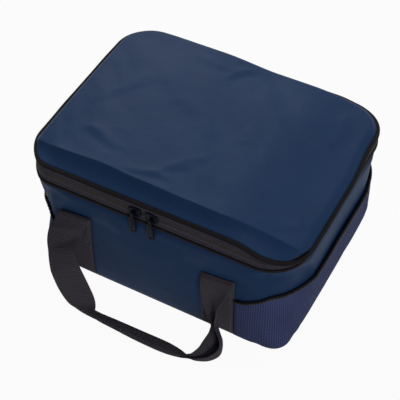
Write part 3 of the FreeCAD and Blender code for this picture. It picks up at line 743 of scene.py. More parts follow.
def swell(piece, pinned, pressure=4.0, cap=5 * MM, stiffness=12.0):
    """Blow the piece up as cloth, with pinned points (0 to 1) held, and keep the result."""
    mesh = piece.data
    before = np.array([v.co for v in mesh.vertices])
    held = piece.vertex_groups.new(name="held")
    for at, amount in enumerate(pinned):
        if amount > 0:
            held.add([at], float(amount), "REPLACE")
    cloth = piece.modifiers.new("cloth", "CLOTH")
    cloth.settings.vertex_group_mass = "held"
    cloth.settings.use_pressure = True
    cloth.settings.uniform_pressure_force = pressure
    cloth.settings.effector_weights.gravity = 0.0
    cloth.settings.tension_stiffness = stiffness
    cloth.settings.compression_stiffness = stiffness
    cloth.settings.shear_stiffness = 4.0
    cloth.settings.bending_stiffness = 0.8
    cloth.settings.quality = 5
    cloth.collision_settings.use_collision = False
    cloth.point_cache.frame_start, cloth.point_cache.frame_end = 1, CLOTH_FRAMES
    scene = bpy.context.scene
    for frame_number in range(1, CLOTH_FRAMES + 1):
        scene.frame_set(frame_number)
    shown = piece.evaluated_get(bpy.context.evaluated_depsgraph_get())
    after = np.array([v.co for v in shown.data.vertices])
    piece.modifiers.remove(cloth)
    piece.vertex_groups.clear()
    scene.frame_set(1)
    moved = after - before
    far = np.linalg.norm(moved, axis=1, keepdims=True)
    moved *= np.minimum(1, cap / np.maximum(far, 1e-9))
    mesh.vertices.foreach_set("co", (before + moved).astype(np.float32).ravel())
    mesh.update()
    print(f"{piece.name}: moved by up to {far.max() * 1000:.1f} mm, kept to {cap * 1000:.0f}")
    return piece


print(f"cloth is swelled over {CLOTH_FRAMES} frames")

# %% [markdown]
# ## The walls
# The wall is one padded band: polyester outside, 5 mm of foam, and the lining sewn to it at
# the rim. It is built as one closed ring whose outside swells between the base seam and the
# rim's piping, with small gathers under the piping where the cloth was eased round corners.
# It could be four panels, as it is cut, but their seams are hidden under the webbing, and one
# ring swells without opening at its corners.

# %% Wall cover
# The section is (inset from the rim's outline, height), from under the base up the outside,
# over the top and down the inside. Points 4 to 26 are the outside that is free to swell.
FIRST_OUTSIDE, LAST_OUTSIDE = 4, 26
wall_section = [(11, 1.5), (8, 0.5), (6, 1.2), (4.9, 3.5), (4.5, 8)]
wall_section += [(4.4 - 2.0 * math.sin(math.pi * z / 135), z) for z in range(14, 112, 6)]
wall_section += [(2.6, 113), (2.4, 117), (2.8, 119.6), (5.5, 120.6), (9.5, 120.4), (10.3, 117)]
wall_section += [(10.4, z) for z in range(105, 10, -12)] + [(10.6, 5)]
wall_section = np.array(wall_section) * MM


def ease_wall(rows, run, faces):
    """Gathers under the piping, strongest round the corners, and slow unevenness below."""
    for i, (row, distance) in enumerate(zip(rows, run)):
        turn = 4 * abs(faces[i][0] * faces[i][1])
        for j in range(FIRST_OUTSIDE + 1, LAST_OUTSIDE + 2):
            point = row[j]
            near_rim = smooth((point[2] - 100 * MM) / (18 * MM))
            gather = math.sin(distance * 2 * math.pi / (9 * MM) + 2 * wander(point, 30 * MM))
            push = 0.35 * near_rim * gather * (0.35 + turn) + 1.1 * wander(point, 70 * MM, 3)
            point[:2] += faces[i] * push * MM * smooth((point[2] - 2 * MM) / (20 * MM))
    return rows


wall_cover = sweep("wall_cover", wall_section, step=4.5 * MM, wobble=ease_wall)
places = np.array([v.co for v in wall_cover.data.vertices])
in_section = np.arange(len(places)) % len(wall_section)
outside = (in_section >= FIRST_OUTSIDE) & (in_section <= LAST_OUTSIDE)
in_line = np.abs(np.abs(places[:, 0]) - STRAP_MIDDLE) < STRAP_WIDE / 2
under_strap = in_line & (np.abs(places[:, 1]) > 110 * MM) & (places[:, 2] < 95 * MM)
swell(wall_cover, np.where(~outside, 1.0, np.where(under_strap, 0.9, 0.0)),
      pressure=3.0, cap=3 * MM, stiffness=18)
dress(wall_cover, navy_polyester, "navy_polyester", "body",
      "front_panel", "back_panel", "left_side_panel", "right_side_panel", "wall_foam")
print(len(places), "points in the wall,", int(under_strap.sum()), "of them held under a strap")

# %% [markdown]
# ## The pipings
# Each rim is closed by a folded binding tape over the seam. It reads as a narrow, slightly
# flattened roll, and no hand-sewn edge is quite even, so it wanders by a few tenths. A plain
# tube would be simpler, but it looks like cord, so the section is a box with round corners.

# %% Pipings


PIPING_OUTER, PIPING_INNER = 0.1 * MM, 5.6 * MM  # from the rim's outline in to its two faces


def uneven_piping(rows, _run, faces):
    """Let the piping wander out and up a little. How far round it is doesn't matter here."""
    for i, row in enumerate(rows):
        push = 0.5 * wander(row[0], 40 * MM, 5) * MM
        row[:, :2] += faces[i] * push
        row[:, 2] += 0.4 * MM * wander(row[0], 60 * MM, 9)
    return rows


for name, cad_node, body in (
    ("body_edge_piping", "body_piping", "body"), ("lid_edge_piping", "lid_piping", "lid"),
):
    low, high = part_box(cad_node)
    section = round_section(PIPING_OUTER, PIPING_INNER, low.z, high.z)
    piping = sweep(name, section, step=4 * MM, wobble=uneven_piping)
    dress(piping, black_binding, "black_binding", body, cad_node)
    print(name, len(piping.data.vertices), "points")

# %% [markdown]
# ## The zip's tapes
# On each side of the opening a woven tape carries a nylon coil. The tape's edge yarns make
# fine ridges along the zip. The ridges could be a bump, but the low light catches them, so
# they are in the section that is swept round. The zip stops short of the hinge.

# %% Zip tapes


TAPE_BACK = 2.9 * MM  # from the rim's outline in to the tape's back
VALLEY_INSET, RIDGE_PROUD = 2.3, 0.8  # mm


def not_at_hinge(points):
    """Which points of the rim the zip passes: all but the stretch of the hinge strip."""
    return ~((points[:, 1] > 0) & (np.abs(points[:, 0]) < (ZIP_END[0].x + 2 * MM)))


def tape_section(low, high, ridge_count):
    """A thin upright strip whose outer face has rounded ridges."""
    face = []
    for n in range(4 * ridge_count + 1):
        share = n / (4 * ridge_count)
        inset = (VALLEY_INSET - RIDGE_PROUD * abs(math.sin(share * math.pi * ridge_count))) * MM
        face.append((inset, low + (high - low) * share))
    back = [(TAPE_BACK, high), (TAPE_BACK, low)]
    return np.array(face + back)


for name, cad_node, body in (
    ("lower_tape", "lower_zip_tape", "body"), ("upper_tape", "upper_zip_tape", "lid"),
):
    low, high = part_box(cad_node)
    section = tape_section(low.z - TAPE_OVERLAP, high.z + TAPE_OVERLAP, TAPE_RIDGES)
    tape = sweep(name, section, keep=not_at_hinge)
    dress(tape, zip_tape, "zip_tape", body, cad_node)
    print(f"{name} {(section[:, 1].max() - section[:, 1].min()) * 1000:.1f} mm wide")

# %% [markdown]
# ## The zip's teeth
# Each tooth of the real zip is one turn of the coil, and shows as a short bent loop of filament.
# The coil could be one long helix, but its turns are pressed nearly flat and only their fronts
# show, so each turn is a small rounded block. The two rows sit half a pitch apart, and mesh.

# %% Zip teeth
TOOTH_PITCH = 2.0 * MM  # a little coarser than real
TOOTH_INSET = 2.4  # mm from the rim's outline in to the teeth
TOOTH_DEPTH = 0.75  # the share to which the depths below are flattened
# Up the tooth: share of its height, half width in mm, half depth in mm.
TOOTH_RINGS = ((0, 0.5, 0.7), (0.2, 0.72, 1.25), (0.55, 0.7, 1.3), (0.85, 0.62, 1.15), (1, 0.35, 0.6))
TOOTH_SIDES = ((-1, -1), (0, -1.3), (1, -1), (1, 1), (0, 1.3), (-1, 1))


def teeth(name, cad_node, body, reach, shift):
    """A row of bent filament loops along the tape's edge."""
    low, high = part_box(cad_node)
    bottom, top = (low.z, high.z + reach) if reach > 0 else (low.z + reach, high.z)
    points, faces, run = rim_stations(TOOTH_PITCH)
    places = np.arange(TOOTH_PITCH / 2 + shift, run[-1], TOOTH_PITCH)
    xs = [np.interp(places, run, np.append(points[:, k], points[0, k])) for k in (0, 1)]
    ns = [np.interp(places, run, np.append(faces[:, k], faces[0, k])) for k in (0, 1)]
    plan, out = np.stack(xs, 1), np.stack(ns, 1)
    inside = not_at_hinge(plan) & ~((plan[:, 1] > 0) & (np.abs(plan[:, 0]) < ZIP_END[1].x))
    vertices, quads = [], []
    for centre, face in zip(plan[inside], out[inside]):
        side = np.array((-face[1], face[0]))
        first = len(vertices)
        for level, wide, deep in TOOTH_RINGS:
            for a, b in TOOTH_SIDES:
                at = centre - face * TOOTH_INSET * MM + side * a * wide * MM
                at = at - face * b * deep * TOOTH_DEPTH * MM
                vertices.append((*at, bottom + (top - bottom) * level))
        quads += tube_faces(first, len(TOOTH_RINGS), len(TOOTH_SIDES))
    mesh = bpy.data.meshes.new(name)
    mesh.from_pydata(slump(np.array(vertices)).tolist(), [], quads)
    layer = mesh.attributes.new("cloth", "FLOAT_VECTOR", "POINT")
    layer.data.foreach_set("vector", np.array(vertices, np.float32).ravel())
    piece = finished_object(name, mesh)
    print(name, inside.sum(), "teeth")
    return dress(piece, nylon_coil, "zip_coil", body, cad_node)


TOOTH_REACH = 0.9 * MM  # how far a tooth reaches past its coil, between the other row's teeth
teeth("lower_teeth", "lower_zip_coil", "body", TOOTH_REACH, 0)
teeth("upper_teeth", "upper_zip_coil", "lid", -TOOTH_REACH, TOOTH_PITCH / 2)

# %% [markdown]
# ## The lid's plan
# The lid's panel is cut larger than the rim, padded, and sewn into the piping all the way
# round. Seen from above it is a sheet with four edges. A square grid would leave steps at the
# round corners, so the points are laid out by blending the four edge curves.

# %% Plan of the lid
LID_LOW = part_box("lid_panel")[0].z
SEAM = 4.2 * MM  # from the rim's outline in to the lid's seam


def edge_curve(first_corner):
    """The seam from the middle of one corner's arc to the next, as (share, x, y)."""
    points, faces, run = rim_stations(1.0 * MM)
    inner = points - faces * SEAM
    quarter = [np.argmin(np.linalg.norm(faces - np.array(d) / math.sqrt(2), axis=1))
               for d in ((-1, 1), (-1, -1), (1, -1), (1, 1))]
    start, end = quarter[first_corner], quarter[(first_corner + 1) % 4]
    line = inner[start:end + 1] if end > start else np.vstack([inner[start:], inner[:end + 1]])
    walked = distances(line)
    return np.column_stack([walked / walked[-1], line])


LEFT_EDGE, FRONT_EDGE, RIGHT_EDGE, BACK_EDGE = (edge_curve(n) for n in range(4))


def plan_point(u, v):
    """A point of the lid's plan: u from left to right, v from front to back, both 0 to 1."""
    u, v = np.asarray(u, float), np.asarray(v, float)

    def along(edge, t):
        return np.stack([np.interp(t, edge[:, 0], edge[:, k]) for k in (1, 2)], -1)

    front, back = along(FRONT_EDGE, u), along(BACK_EDGE, 1 - u)
    left, right = along(LEFT_EDGE, 1 - v), along(RIGHT_EDGE, v)
    U, V = u[..., None], v[..., None]
    ends = [FRONT_EDGE[0, 1:], FRONT_EDGE[-1, 1:], BACK_EDGE[-1, 1:], BACK_EDGE[0, 1:]]
    square = (1 - U) * (1 - V) * ends[0] + U * (1 - V) * ends[1] + (1 - U) * V * ends[2] + U * V * ends[3]
    return (1 - V) * front + V * back + (1 - U) * left + U * right - square


def depth_inside(x, y, front=True):
    """How far a point of the plan is from the seam, or from its sides and back only."""
    radius = CORNER - SEAM
    ahead = np.abs(y) if front else np.maximum(y, -(RIM_Y - CORNER))
    qx, qy = np.abs(x) - (RIM_X - CORNER), ahead - (RIM_Y - CORNER)
    corner = np.hypot(np.maximum(qx, 0), np.maximum(qy, 0)) + np.minimum(np.maximum(qx, qy), 0)
    return radius - corner


print(f"the lid's seam is {SEAM * 1000:.1f} mm inside the rim's outline")

# %% [markdown]
# ## The lid's crease and folds
# The top ends in a clear crease some way behind the zip, and in front of that the cloth falls
# to the piping. It also has soft folds where it has been pushed about. Cloth simulation makes
# folds by itself, but in places of its own, so the crease is a short list of places, and each
# fold is a smooth ridge between two points.

# %% Crease and folds
CREASE = np.array([  # across the box, then how far the crease lies behind the rim and above it
    (-160, 27, 5), (-133, 23.6, 8), (-112, 20.5, 12), (-62, 20.5, 14), (-14, 19, 14), (32, 17.5, 13.5),
    (77, 17.5, 13), (98, 20, 13), (122, 24, 12.5), (143, 25, 11.5), (159, 27, 7.5), (168, 28, 3.5),
]) * MM


def crease_back(x):
    return np.interp(x, CREASE[:, 0], CREASE[:, 1])


def crease_rise(x):
    return np.interp(x, CREASE[:, 0], CREASE[:, 2])


TOP_ROWS, LID_COLUMNS = 63, 92
# Rows of the strip in front of the crease. A row close by on each side keeps the crease crisp.
STRIP_SHARES = np.append(np.linspace(0, 0.96, 9), 1)
BEHIND_CREASE = 0.0035  # share of the top's depth at which its first row lies
STRIP_ROWS = len(STRIP_SHARES) - 1
FOLDS = np.array([  # soft folds in the top cloth: one end, the other end, rise and half width
    (-38, -99, 15, -94, 1.0, 5), (0, -84, 26, -42, 0.9, 5), (-12, -97, 22, -62, 0.8, 4.5),
    (-22, 82, 4, 112, 1.0, 6), (-66, 104, -8, 94, 0.9, 7), (-108, -64, -52, -78, 1.0, 6),
    (124, -102, 147, -68, 1.0, 4.5), (110, -106, 130, -78, 0.8, 4), (127, 30, 125, 96, 0.8, 7),
    (-128, -30, -92, 40, 0.7, 8), (40, 20, 92, -34, 0.8, 8), (-40, 30, 20, -12, 0.7, 9),
]) * MM


def folds(x, y):
    """How high the soft folds stand at points of the plan: each a ridge that fades at its ends."""
    height = np.zeros(np.shape(x))
    for x0, y0, x1, y1, rise, wide in FOLDS:
        span = math.hypot(x1 - x0, y1 - y0)
        along = ((x - x0) * (x1 - x0) + (y - y0) * (y1 - y0)) / span
        aside = ((x - x0) * (y1 - y0) - (y - y0) * (x1 - x0)) / span
        aside = aside + 2.5 * MM * np.sin(along * 2.2 / (20 * MM) + 60 * x0)
        fade = smooth(along / (0.3 * span) + 0.3) * smooth((span - along) / (0.3 * span) + 0.3)
        height += rise * fade * (np.exp(-(aside / wide) ** 2) - 0.5 * np.exp(-(aside / wide - 1.6) ** 2))
    return height


print(len(FOLDS), "folds, and a crease up to", round(CREASE[:, 1].max() * 1000), "mm behind the rim")

# %% [markdown]
# ## The lid's height
# Padding rounds the lid over close to its seam at the sides and back, the middle stands a
# little higher, and the strip in front of the crease sags. All of that is one height for each
# point of the plan. It could be sculpted, but a formula can be read, and changed in one part.

# %% Height of the lid
FINE_POINTS = 400  # how finely a line from front to back is searched for the crease


def spread(t, bunch):
    """Move evenly spaced shares towards both ends."""
    return (1 - bunch) * t + bunch * (1 - np.cos(math.pi * t)) / 2


def lid_top_points():
    """Rows from front to back; row STRIP_ROWS lies on the crease."""
    grid = []
    fine = np.linspace(0, 1, FINE_POINTS)
    for u in spread(np.linspace(0, 1, LID_COLUMNS), 0.3):
        line = plan_point(np.full(FINE_POINTS, u), fine)
        beyond = line[:, 1] + RIM_Y - crease_back(line[:, 0])
        at_crease = np.interp(0, beyond, fine)
        strip = at_crease * STRIP_SHARES
        top_shares = np.append(BEHIND_CREASE, spread(np.linspace(0, 1, TOP_ROWS), 0.35)[1:])
        top = at_crease + (1 - at_crease) * top_shares
        grid.append(plan_point(np.full(STRIP_ROWS + TOP_ROWS + 1, u), np.concatenate([strip, top])))
    plan = np.stack(grid, 1)
    x, y = plan[..., 0], plan[..., 1]
    behind_crease = np.maximum(y + RIM_Y - crease_back(x), 0)
    to_back = smooth((y - 40 * MM) / (80 * MM))
    reach = (9 - 3.5 * to_back * smooth((150 * MM - np.abs(x)) / (50 * MM))) * MM
    shoulder = np.sin(np.clip(depth_inside(x, y, front=False) / reach, 0, 1) * math.pi / 2) ** 0.75
    crown = (7.4 + 2.4 * smooth(depth_inside(x, y) / (80 * MM))) * MM
    top = crown + (crease_rise(x) - crown) * np.exp(-behind_crease / (38 * MM))
    share = STRIP_SHARES[:, None]
    strip = crease_rise(x[:STRIP_ROWS + 1]) * (0.25 * share + 0.75 * share**4)
    height = np.vstack([strip, top[STRIP_ROWS + 1:] + folds(x, y)[STRIP_ROWS + 1:]]) * shoulder
    soft = smooth(depth_inside(x, y) / (30 * MM))
    for i, j in np.ndindex(*x.shape):
        point = (0.6 * x[i, j], y[i, j], 0)
        fold = (x[i, j] + 0.9 * y[i, j], 0.25 * (y[i, j] - x[i, j]), 0)
        height[i, j] += soft[i, j] * (1.2 * wander(point, 80 * MM, 2) + 1.3 * wander(fold, 30 * MM, 4)) * MM
    return np.dstack([plan, LID_LOW + height])


lid_top = lid_top_points()
print(f"lid {lid_top[..., 2].max() * 1000:.1f} mm high at most, before it is swelled")

# %% [markdown]
# ## The lid's cover
# The sheet gets a flat underside just below the seam. The closed piece is then swelled as
# cloth, with its seam held, its crease nearly held and the rest of the top a little free. Cloth
# left quite free would lose the crease and the folds.

# %% Lid cover
UNDER_SHARE, UNDER_DROP = 0.985, 3.2 * MM  # the underside is this much smaller, and this far down
rows, columns = lid_top.shape[:2]
under = lid_top * (UNDER_SHARE, UNDER_SHARE, 0) + (0, 0, LID_LOW - UNDER_DROP)
border = [(0, j) for j in range(columns)] + [(i, columns - 1) for i in range(1, rows)]
border += [(rows - 1, j) for j in range(columns - 2, -1, -1)] + [(i, 0) for i in range(rows - 2, 0, -1)]
points = np.vstack([lid_top.reshape(-1, 3), under.reshape(-1, 3)])
count = rows * columns
quads = []
for i, j in np.ndindex(rows - 1, columns - 1):
    a = i * columns + j
    quads.append((a, a + 1, a + columns + 1, a + columns))
    quads.append((a + count, a + columns + count, a + columns + 1 + count, a + 1 + count))
for (a, b), (c, d) in zip(border, border[1:] + border[:1]):
    first, second = a * columns + b, c * columns + d
    quads.append((first, first + count, second + count, second))
mesh = bpy.data.meshes.new("lid_cover")
mesh.from_pydata(points.tolist(), [], quads)
layer = mesh.attributes.new("cloth", "FLOAT_VECTOR", "POINT")
layer.data.foreach_set("vector", (points * (1, 1, 0)).astype(np.float32).ravel())
lid_cover = finished_object("lid_cover", mesh)
held = np.ones(2 * count)
inside = depth_inside(lid_top[..., 0], lid_top[..., 1]).ravel()
row_number = np.arange(count) // columns
held[:count] = np.where(inside < 2 * MM, 1.0, np.where(row_number == STRIP_ROWS, 0.9, 0.25))
swell(lid_cover, held, pressure=4.0, cap=4 * MM)
coordinates = np.array([v.co for v in lid_cover.data.vertices])
lid_cover.data.vertices.foreach_set("co", slump(coordinates).astype(np.float32).ravel())
dress(lid_cover, navy_polyester, "navy_polyester", "lid", "lid_panel", "lid_foam")
print(len(points), "points in the lid")

# %% [markdown]
# ## Finding the wall's skin
# Straps and pockets are sewn onto a wall that has just been swelled, so their places aren't
# known in advance. A ray sent in from outside finds the skin, and each piece lies a little
# proud of the point it hits. That keeps them touching without cutting in. Working the wall's
# formula out again would be quicker, but would miss what the cloth solver did to it.

# %% Rays onto the wall
cover = wall_cover.data
wall_tree = BVHTree.FromPolygons(
    [v.co for v in cover.vertices], [list(p.vertices) for p in cover.polygons]
)
RAY_START, RAY_LONG = 40 * MM, 80 * MM  # where a ray starts, outside the outline, and its reach
SKIN_IF_MISSED = 43 * MM  # along the ray, which is 3 mm inside the outline


def on_wall(point, face, height, proud):
    """The place on the wall's skin outside a rim point at a height, moved out by proud."""
    outward = Vector((face[0], face[1], 0))
    start = Vector(slump((point[0], point[1], height))) + RAY_START * outward
    hit = wall_tree.ray_cast(start, -outward, RAY_LONG)[0] or start - SKIN_IF_MISSED * outward
    return np.array(hit + float(proud) * outward)


front_skin = on_wall((0, -RIM_Y), (0, -1), 60 * MM, 0)
print(f"60 mm up, the front's skin is at y {front_skin[1] * 1000:.1f} mm")

# %% [markdown]
# ## Stitches
# A lockstitch shows as a row of short raised dashes, each a bit of thread that dives into the
# cloth at both ends. Each dash here is a small tapered capsule laid on the surface. A dashed
# line in the colour would be cheaper, but a low light shows it flat.

# %% A row of stitches
STITCH_LONG, STITCH_GAP, STITCH_WIDE = 2.6 * MM, 1.1 * MM, 0.42 * MM
# Along a dash: share of its length, then radius and rise as shares of STITCH_WIDE.
STITCH_RINGS = ((0, 0.3, -0.5), (0.2, 0.9, 0.5), (0.5, 1.0, 0.8), (0.8, 0.9, 0.5), (1, 0.3, -0.5))
STITCH_SIDES = 6


def stitch_row(line, normals):
    """Vertices and faces of dashes laid along a line whose surface normals are known."""
    line, normals = np.array(line, float), np.array(normals, float)
    run = distances(line)
    vertices, quads = [], []
    for start in np.arange(STITCH_GAP, run[-1] - STITCH_LONG, STITCH_LONG + STITCH_GAP):
        first = len(vertices)
        for share, wide, rise in STITCH_RINGS:
            at = start + share * STITCH_LONG
            centre = np.array([np.interp(at, run, line[:, k]) for k in range(3)])
            ahead = np.array([np.interp(at + 0.5 * MM, run, line[:, k]) for k in range(3)]) - centre
            up = np.array([np.interp(at, run, normals[:, k]) for k in range(3)])
            up /= np.linalg.norm(up)
            side = np.cross(ahead, up)
            side /= np.linalg.norm(side) + 1e-12
            for k in range(STITCH_SIDES):
                angle = 2 * k * math.pi / STITCH_SIDES
                reach = wide * STITCH_WIDE * (math.cos(angle) * side + 0.8 * math.sin(angle) * up)
                vertices.append(centre + rise * STITCH_WIDE * up + reach)
        quads += tube_faces(first, len(STITCH_RINGS), STITCH_SIDES)
    return vertices, quads


def stitches(name, rows, body, slot="black_webbing"):
    """One object with all the rows of stitches of a piece."""
    vertices, quads = [], []
    for line, normals in rows:
        more, faces = stitch_row(line, normals)
        quads += [tuple(k + len(vertices) for k in face) for face in faces]
        vertices += more
    mesh = bpy.data.meshes.new(name)
    mesh.from_pydata([tuple(v) for v in vertices], [], quads)
    made = dress(finished_object(name, mesh), thread, slot, body)
    print(name, len(vertices) // (len(STITCH_RINGS) * STITCH_SIDES), "stitches")
    return made


print(f"a stitch every {(STITCH_LONG + STITCH_GAP) * 1000:.1f} mm")

# %% [markdown]
# ## Sewn straps
# Four lengths of webbing run up the walls from the base seam. Each is sewn along both edges
# and finished at the top with a boxed cross of stitches, where the carry loop leaves it. A
# strap could be a flat bar pressed on the wall, but it has to follow the swelled cloth, so both
# of its faces are found with rays, a webbing's thickness apart.

# %% Where a strap lies
WEB_THICK = 1.5 * MM
STRAP_TOP = STRAP[1].z
STRAP_SLIM = 0.995  # share of the frame's width that the strap takes
STRAP_COLUMNS = 11
SEWN_POINTS = 9  # along each straight run of stitches
BOX_SIDE, BOX_LOW, BOX_HIGH = 0.8, 0.60, 0.955  # the box: share of the half width, of the height
EDGE_SIDE, EDGE_LOW, EDGE_HIGH = 0.9, 0.05, 0.58  # the rows along the edges, in the same shares
STRAP_SEWING = [
    [(-BOX_SIDE, BOX_LOW), (BOX_SIDE, BOX_LOW), (BOX_SIDE, BOX_HIGH), (-BOX_SIDE, BOX_HIGH),
     (-BOX_SIDE, BOX_LOW), (BOX_SIDE, BOX_HIGH)],
    [(BOX_SIDE, BOX_LOW), (-BOX_SIDE, BOX_HIGH)],
    [(-EDGE_SIDE, EDGE_LOW), (-EDGE_SIDE, EDGE_HIGH)],
    [(EDGE_SIDE, EDGE_LOW), (EDGE_SIDE, EDGE_HIGH)],
]
strap_steps = np.concatenate([np.linspace(0.017, 0.965, 23), (0.975, 0.987, 0.997)])
strap_shares = np.linspace(-1, 1, STRAP_COLUMNS)


def strap_top(side_x, side_y, share):
    """The front straps were sewn a little unevenly: each top slopes, and the right one is lower."""
    if side_y > 0:
        return STRAP_TOP - 1 * MM
    return STRAP_TOP + ((-2.0 - 2.2 * share) if side_x < 0 else (-5.6 + 2.4 * share)) * MM


def strap_skin(side_x, side_y, share, height, proud):
    """A point on one strap: share goes from -1 to 1 across it."""
    x = side_x * (STRAP_MIDDLE + share * STRAP_WIDE / 2 * STRAP_SLIM)
    face = np.array((0.0, side_y))
    at = on_wall((x, side_y * RIM_Y), face, max(height, 4 * MM), proud)
    tuck = smooth((5 * MM - height) / (5 * MM)) * 2.5 * MM
    return np.array((at[0], at[1] - side_y * tuck, height))


def strap_rows(side_x, side_y):
    """Rows up a strap: across the face on the wall, then back across the face that shows."""
    rows = []
    for step in strap_steps:
        lift = 0.9 * MM * smooth((step - 0.93) / 0.07)
        tops = [step * strap_top(side_x, side_y, s) for s in strap_shares]
        proud = 0.1 * MM + lift * 0.6
        inner = [strap_skin(side_x, side_y, s, z, proud) for s, z in zip(strap_shares, tops)]
        outer = []
        for s, z in zip(strap_shares[::-1], tops[::-1]):
            edge = 1 - 0.35 * max(0, abs(s) - 0.88) / 0.12
            outer.append(strap_skin(side_x, side_y, s, z, WEB_THICK * edge + lift))
        rows.append(inner + outer)
    return rows


def strap_sewing(side_x, side_y):
    """The straight runs of stitches on a strap, each with the direction that faces outwards."""
    lines = []
    for path in STRAP_SEWING:
        for (s0, h0), (s1, h1) in zip(path, path[1:]):
            line = []
            for t in np.linspace(0, 1, SEWN_POINTS):
                s = s0 + (s1 - s0) * t
                height = (h0 + (h1 - h0) * t) * strap_top(side_x, side_y, s)
                line.append(strap_skin(side_x, side_y, s, height, WEB_THICK))
            lines.append((line, [(0, side_y, 0)] * SEWN_POINTS))
    return lines


print(f"straps {STRAP_WIDE * 1000:.0f} mm wide and {STRAP_TOP * 1000:.0f} mm tall")

# %% [markdown]
# ### The four straps
# All four are cut alike and differ only in where they are sewn. They could be copies of one
# mesh, but each lies on its own stretch of the wall, so each is laid by the same functions.

# %% Lay the straps
strap_cross = np.concatenate([
    np.linspace(0, STRAP_WIDE, STRAP_COLUMNS), np.linspace(STRAP_WIDE, 0, STRAP_COLUMNS), [0]
])
for side_x, side_y, cad_node in (
    (-1, -1, "front_left_webbing"), (1, -1, "front_right_webbing"),
    (-1, 1, "back_left_webbing"), (1, 1, "back_right_webbing"),
):
    rows = strap_rows(side_x, side_y)
    cloth = np.stack(np.meshgrid(strap_steps * STRAP_TOP, strap_cross, indexing="ij"), 2)
    strap = grid_object(cad_node.replace("webbing", "strap"), rows, False, True, cloth, capped=True)
    dress(strap, black_webbing, "black_webbing", "body", cad_node)
    stitches(strap.name + "_stitches", strap_sewing(side_x, side_y), "body")

# %% [markdown]
# ## Carry loops
# Each loop is one length of the same webbing. It leaves the top of its strap, hangs in front
# of it, and lies on the floor between. Where the hand goes it is folded in half lengthwise and
# sewn, and the flat webbing has to crumple into that fold at both ends: on the left it folds
# under, and on the right it opens like a trough. A ribbon is laid through stations, each with
# both edges of the webbing and the line down its middle, which becomes the fold.

# %% Stations of the front loop, in mm: one edge, the middle, the other edge
LOOP = [
    ((-104.5, -128.2, 87.5), (-85.5, -128.2, 90.3), (-66.0, -128.2, 92.2)),
    ((-105.5, -131.4, 86.5), (-86.0, -131.5, 89.2), (-66.0, -131.4, 91.2)),
    ((-106.5, -136.5, 78.5), (-87.0, -135.6, 82.0), (-68.5, -134.0, 85.3)),
    ((-110.3, -142.6, 68.0), (-90.5, -141.4, 71.8), (-71.5, -139.0, 75.5)),
    ((-108.4, -150.6, 58.5), (-90.2, -149.4, 63.6), (-71.6, -146.2, 68.4)),
    ((-102.8, -158.6, 47.5), (-86.6, -157.8, 56.0), (-69.5, -154.6, 62.5)),
    ((-94.6, -166.6, 32.5), (-77.4, -165.2, 42.0), (-60.0, -160.8, 50.6)),
    ((-83.1, -172.6, 17.3), (-66.4, -170.4, 27.0), (-48.5, -165.2, 34.7)),
    ((-69.3, -176.8, 6.6), (-53.6, -172.8, 16.0), (-39.8, -168.8, 21.6)),
    ((-57.0, -179.0, 5.0), (-44.6, -169.6, 9.0), (-38.2, -170.4, 9.6)),
    ((-47.0, -180.2, 4.7), (-40.0, -169.4, 4.6), (-37.5, -175.6, 2.4)),
    ((-34.0, -180.8, 4.7), (-33.0, -169.9, 3.3), (-31.0, -179.4, 2.0)),
    ((-9.7, -181.3, 4.6), (-9.7, -168.9, 3.2), (-9.7, -180.8, 1.9)),
    ((19.6, -182.8, 4.6), (19.6, -168.2, 3.2), (19.6, -182.3, 1.9)),
    ((49.7, -182.6, 4.6), (49.7, -167.7, 3.2), (49.7, -182.1, 1.9)),
    ((67.5, -179.8, 4.9), (67.0, -170.2, 2.9), (68.0, -179.2, 1.9)),
    ((77.0, -173.6, 6.5), (77.5, -173.6, 2.0), (78.5, -177.2, 4.6)),
    ((81.0, -172.6, 10.5), (86.0, -174.2, 2.0), (88.0, -176.6, 9.0)),
    ((86.0, -168.6, 17.6), (98.5, -168.6, 2.4), (99.5, -172.0, 15.0)),
    ((87.6, -161.6, 22.2), (105.8, -159.6, 4.6), (105.8, -164.0, 20.6)),
    ((89.6, -154.6, 27.4), (104.4, -150.8, 8.8), (104.0, -157.4, 25.0)),
    ((89.4, -149.4, 29.6), (98.0, -143.4, 15.0), (98.2, -152.4, 29.6)),
    ((88.2, -146.4, 31.0), (92.4, -138.4, 23.6), (93.0, -148.8, 37.4)),
    ((84.6, -143.6, 33.6), (89.4, -136.0, 32.4), (93.6, -147.8, 46.0)),
    ((79.6, -140.6, 38.4), (87.6, -134.8, 43.0), (94.8, -146.6, 57.0)),
    ((71.7, -136.6, 50.4), (84.6, -134.4, 56.0), (98.6, -141.8, 69.8)),
    ((67.9, -134.2, 67.4), (84.8, -134.0, 72.4), (102.2, -135.6, 80.0)),
    ((67.0, -131.6, 79.4), (85.0, -131.7, 82.4), (103.4, -131.6, 86.4)),
    ((66.8, -128.4, 81.4), (85.0, -128.4, 84.0), (103.6, -128.4, 87.6)),
]
print(len(LOOP), "stations along the loop")

# %% [markdown]
# ### From stations to webbing
# Real webbing bends smoothly along its length and keeps one thickness. A cloth simulation could
# hang it, but would not fold it where the sewing does. So smooth curves are drawn through the
# stations, for both edges and the middle, and a few narrow creases are pushed in where the
# webbing buckles.

# %% A ribbon through stations
RIBBON_COLUMNS = 15
RIBBON_MIDDLE = RIBBON_COLUMNS // 2
# Each crease: its place along both edges, its depth and its width.
CREASES = np.array([(20, 18, 4.2, 7), (44, 28, -4.0, 7), (66, 62, 2.6, 8), (292, 288, 1.6, 6)]) * MM


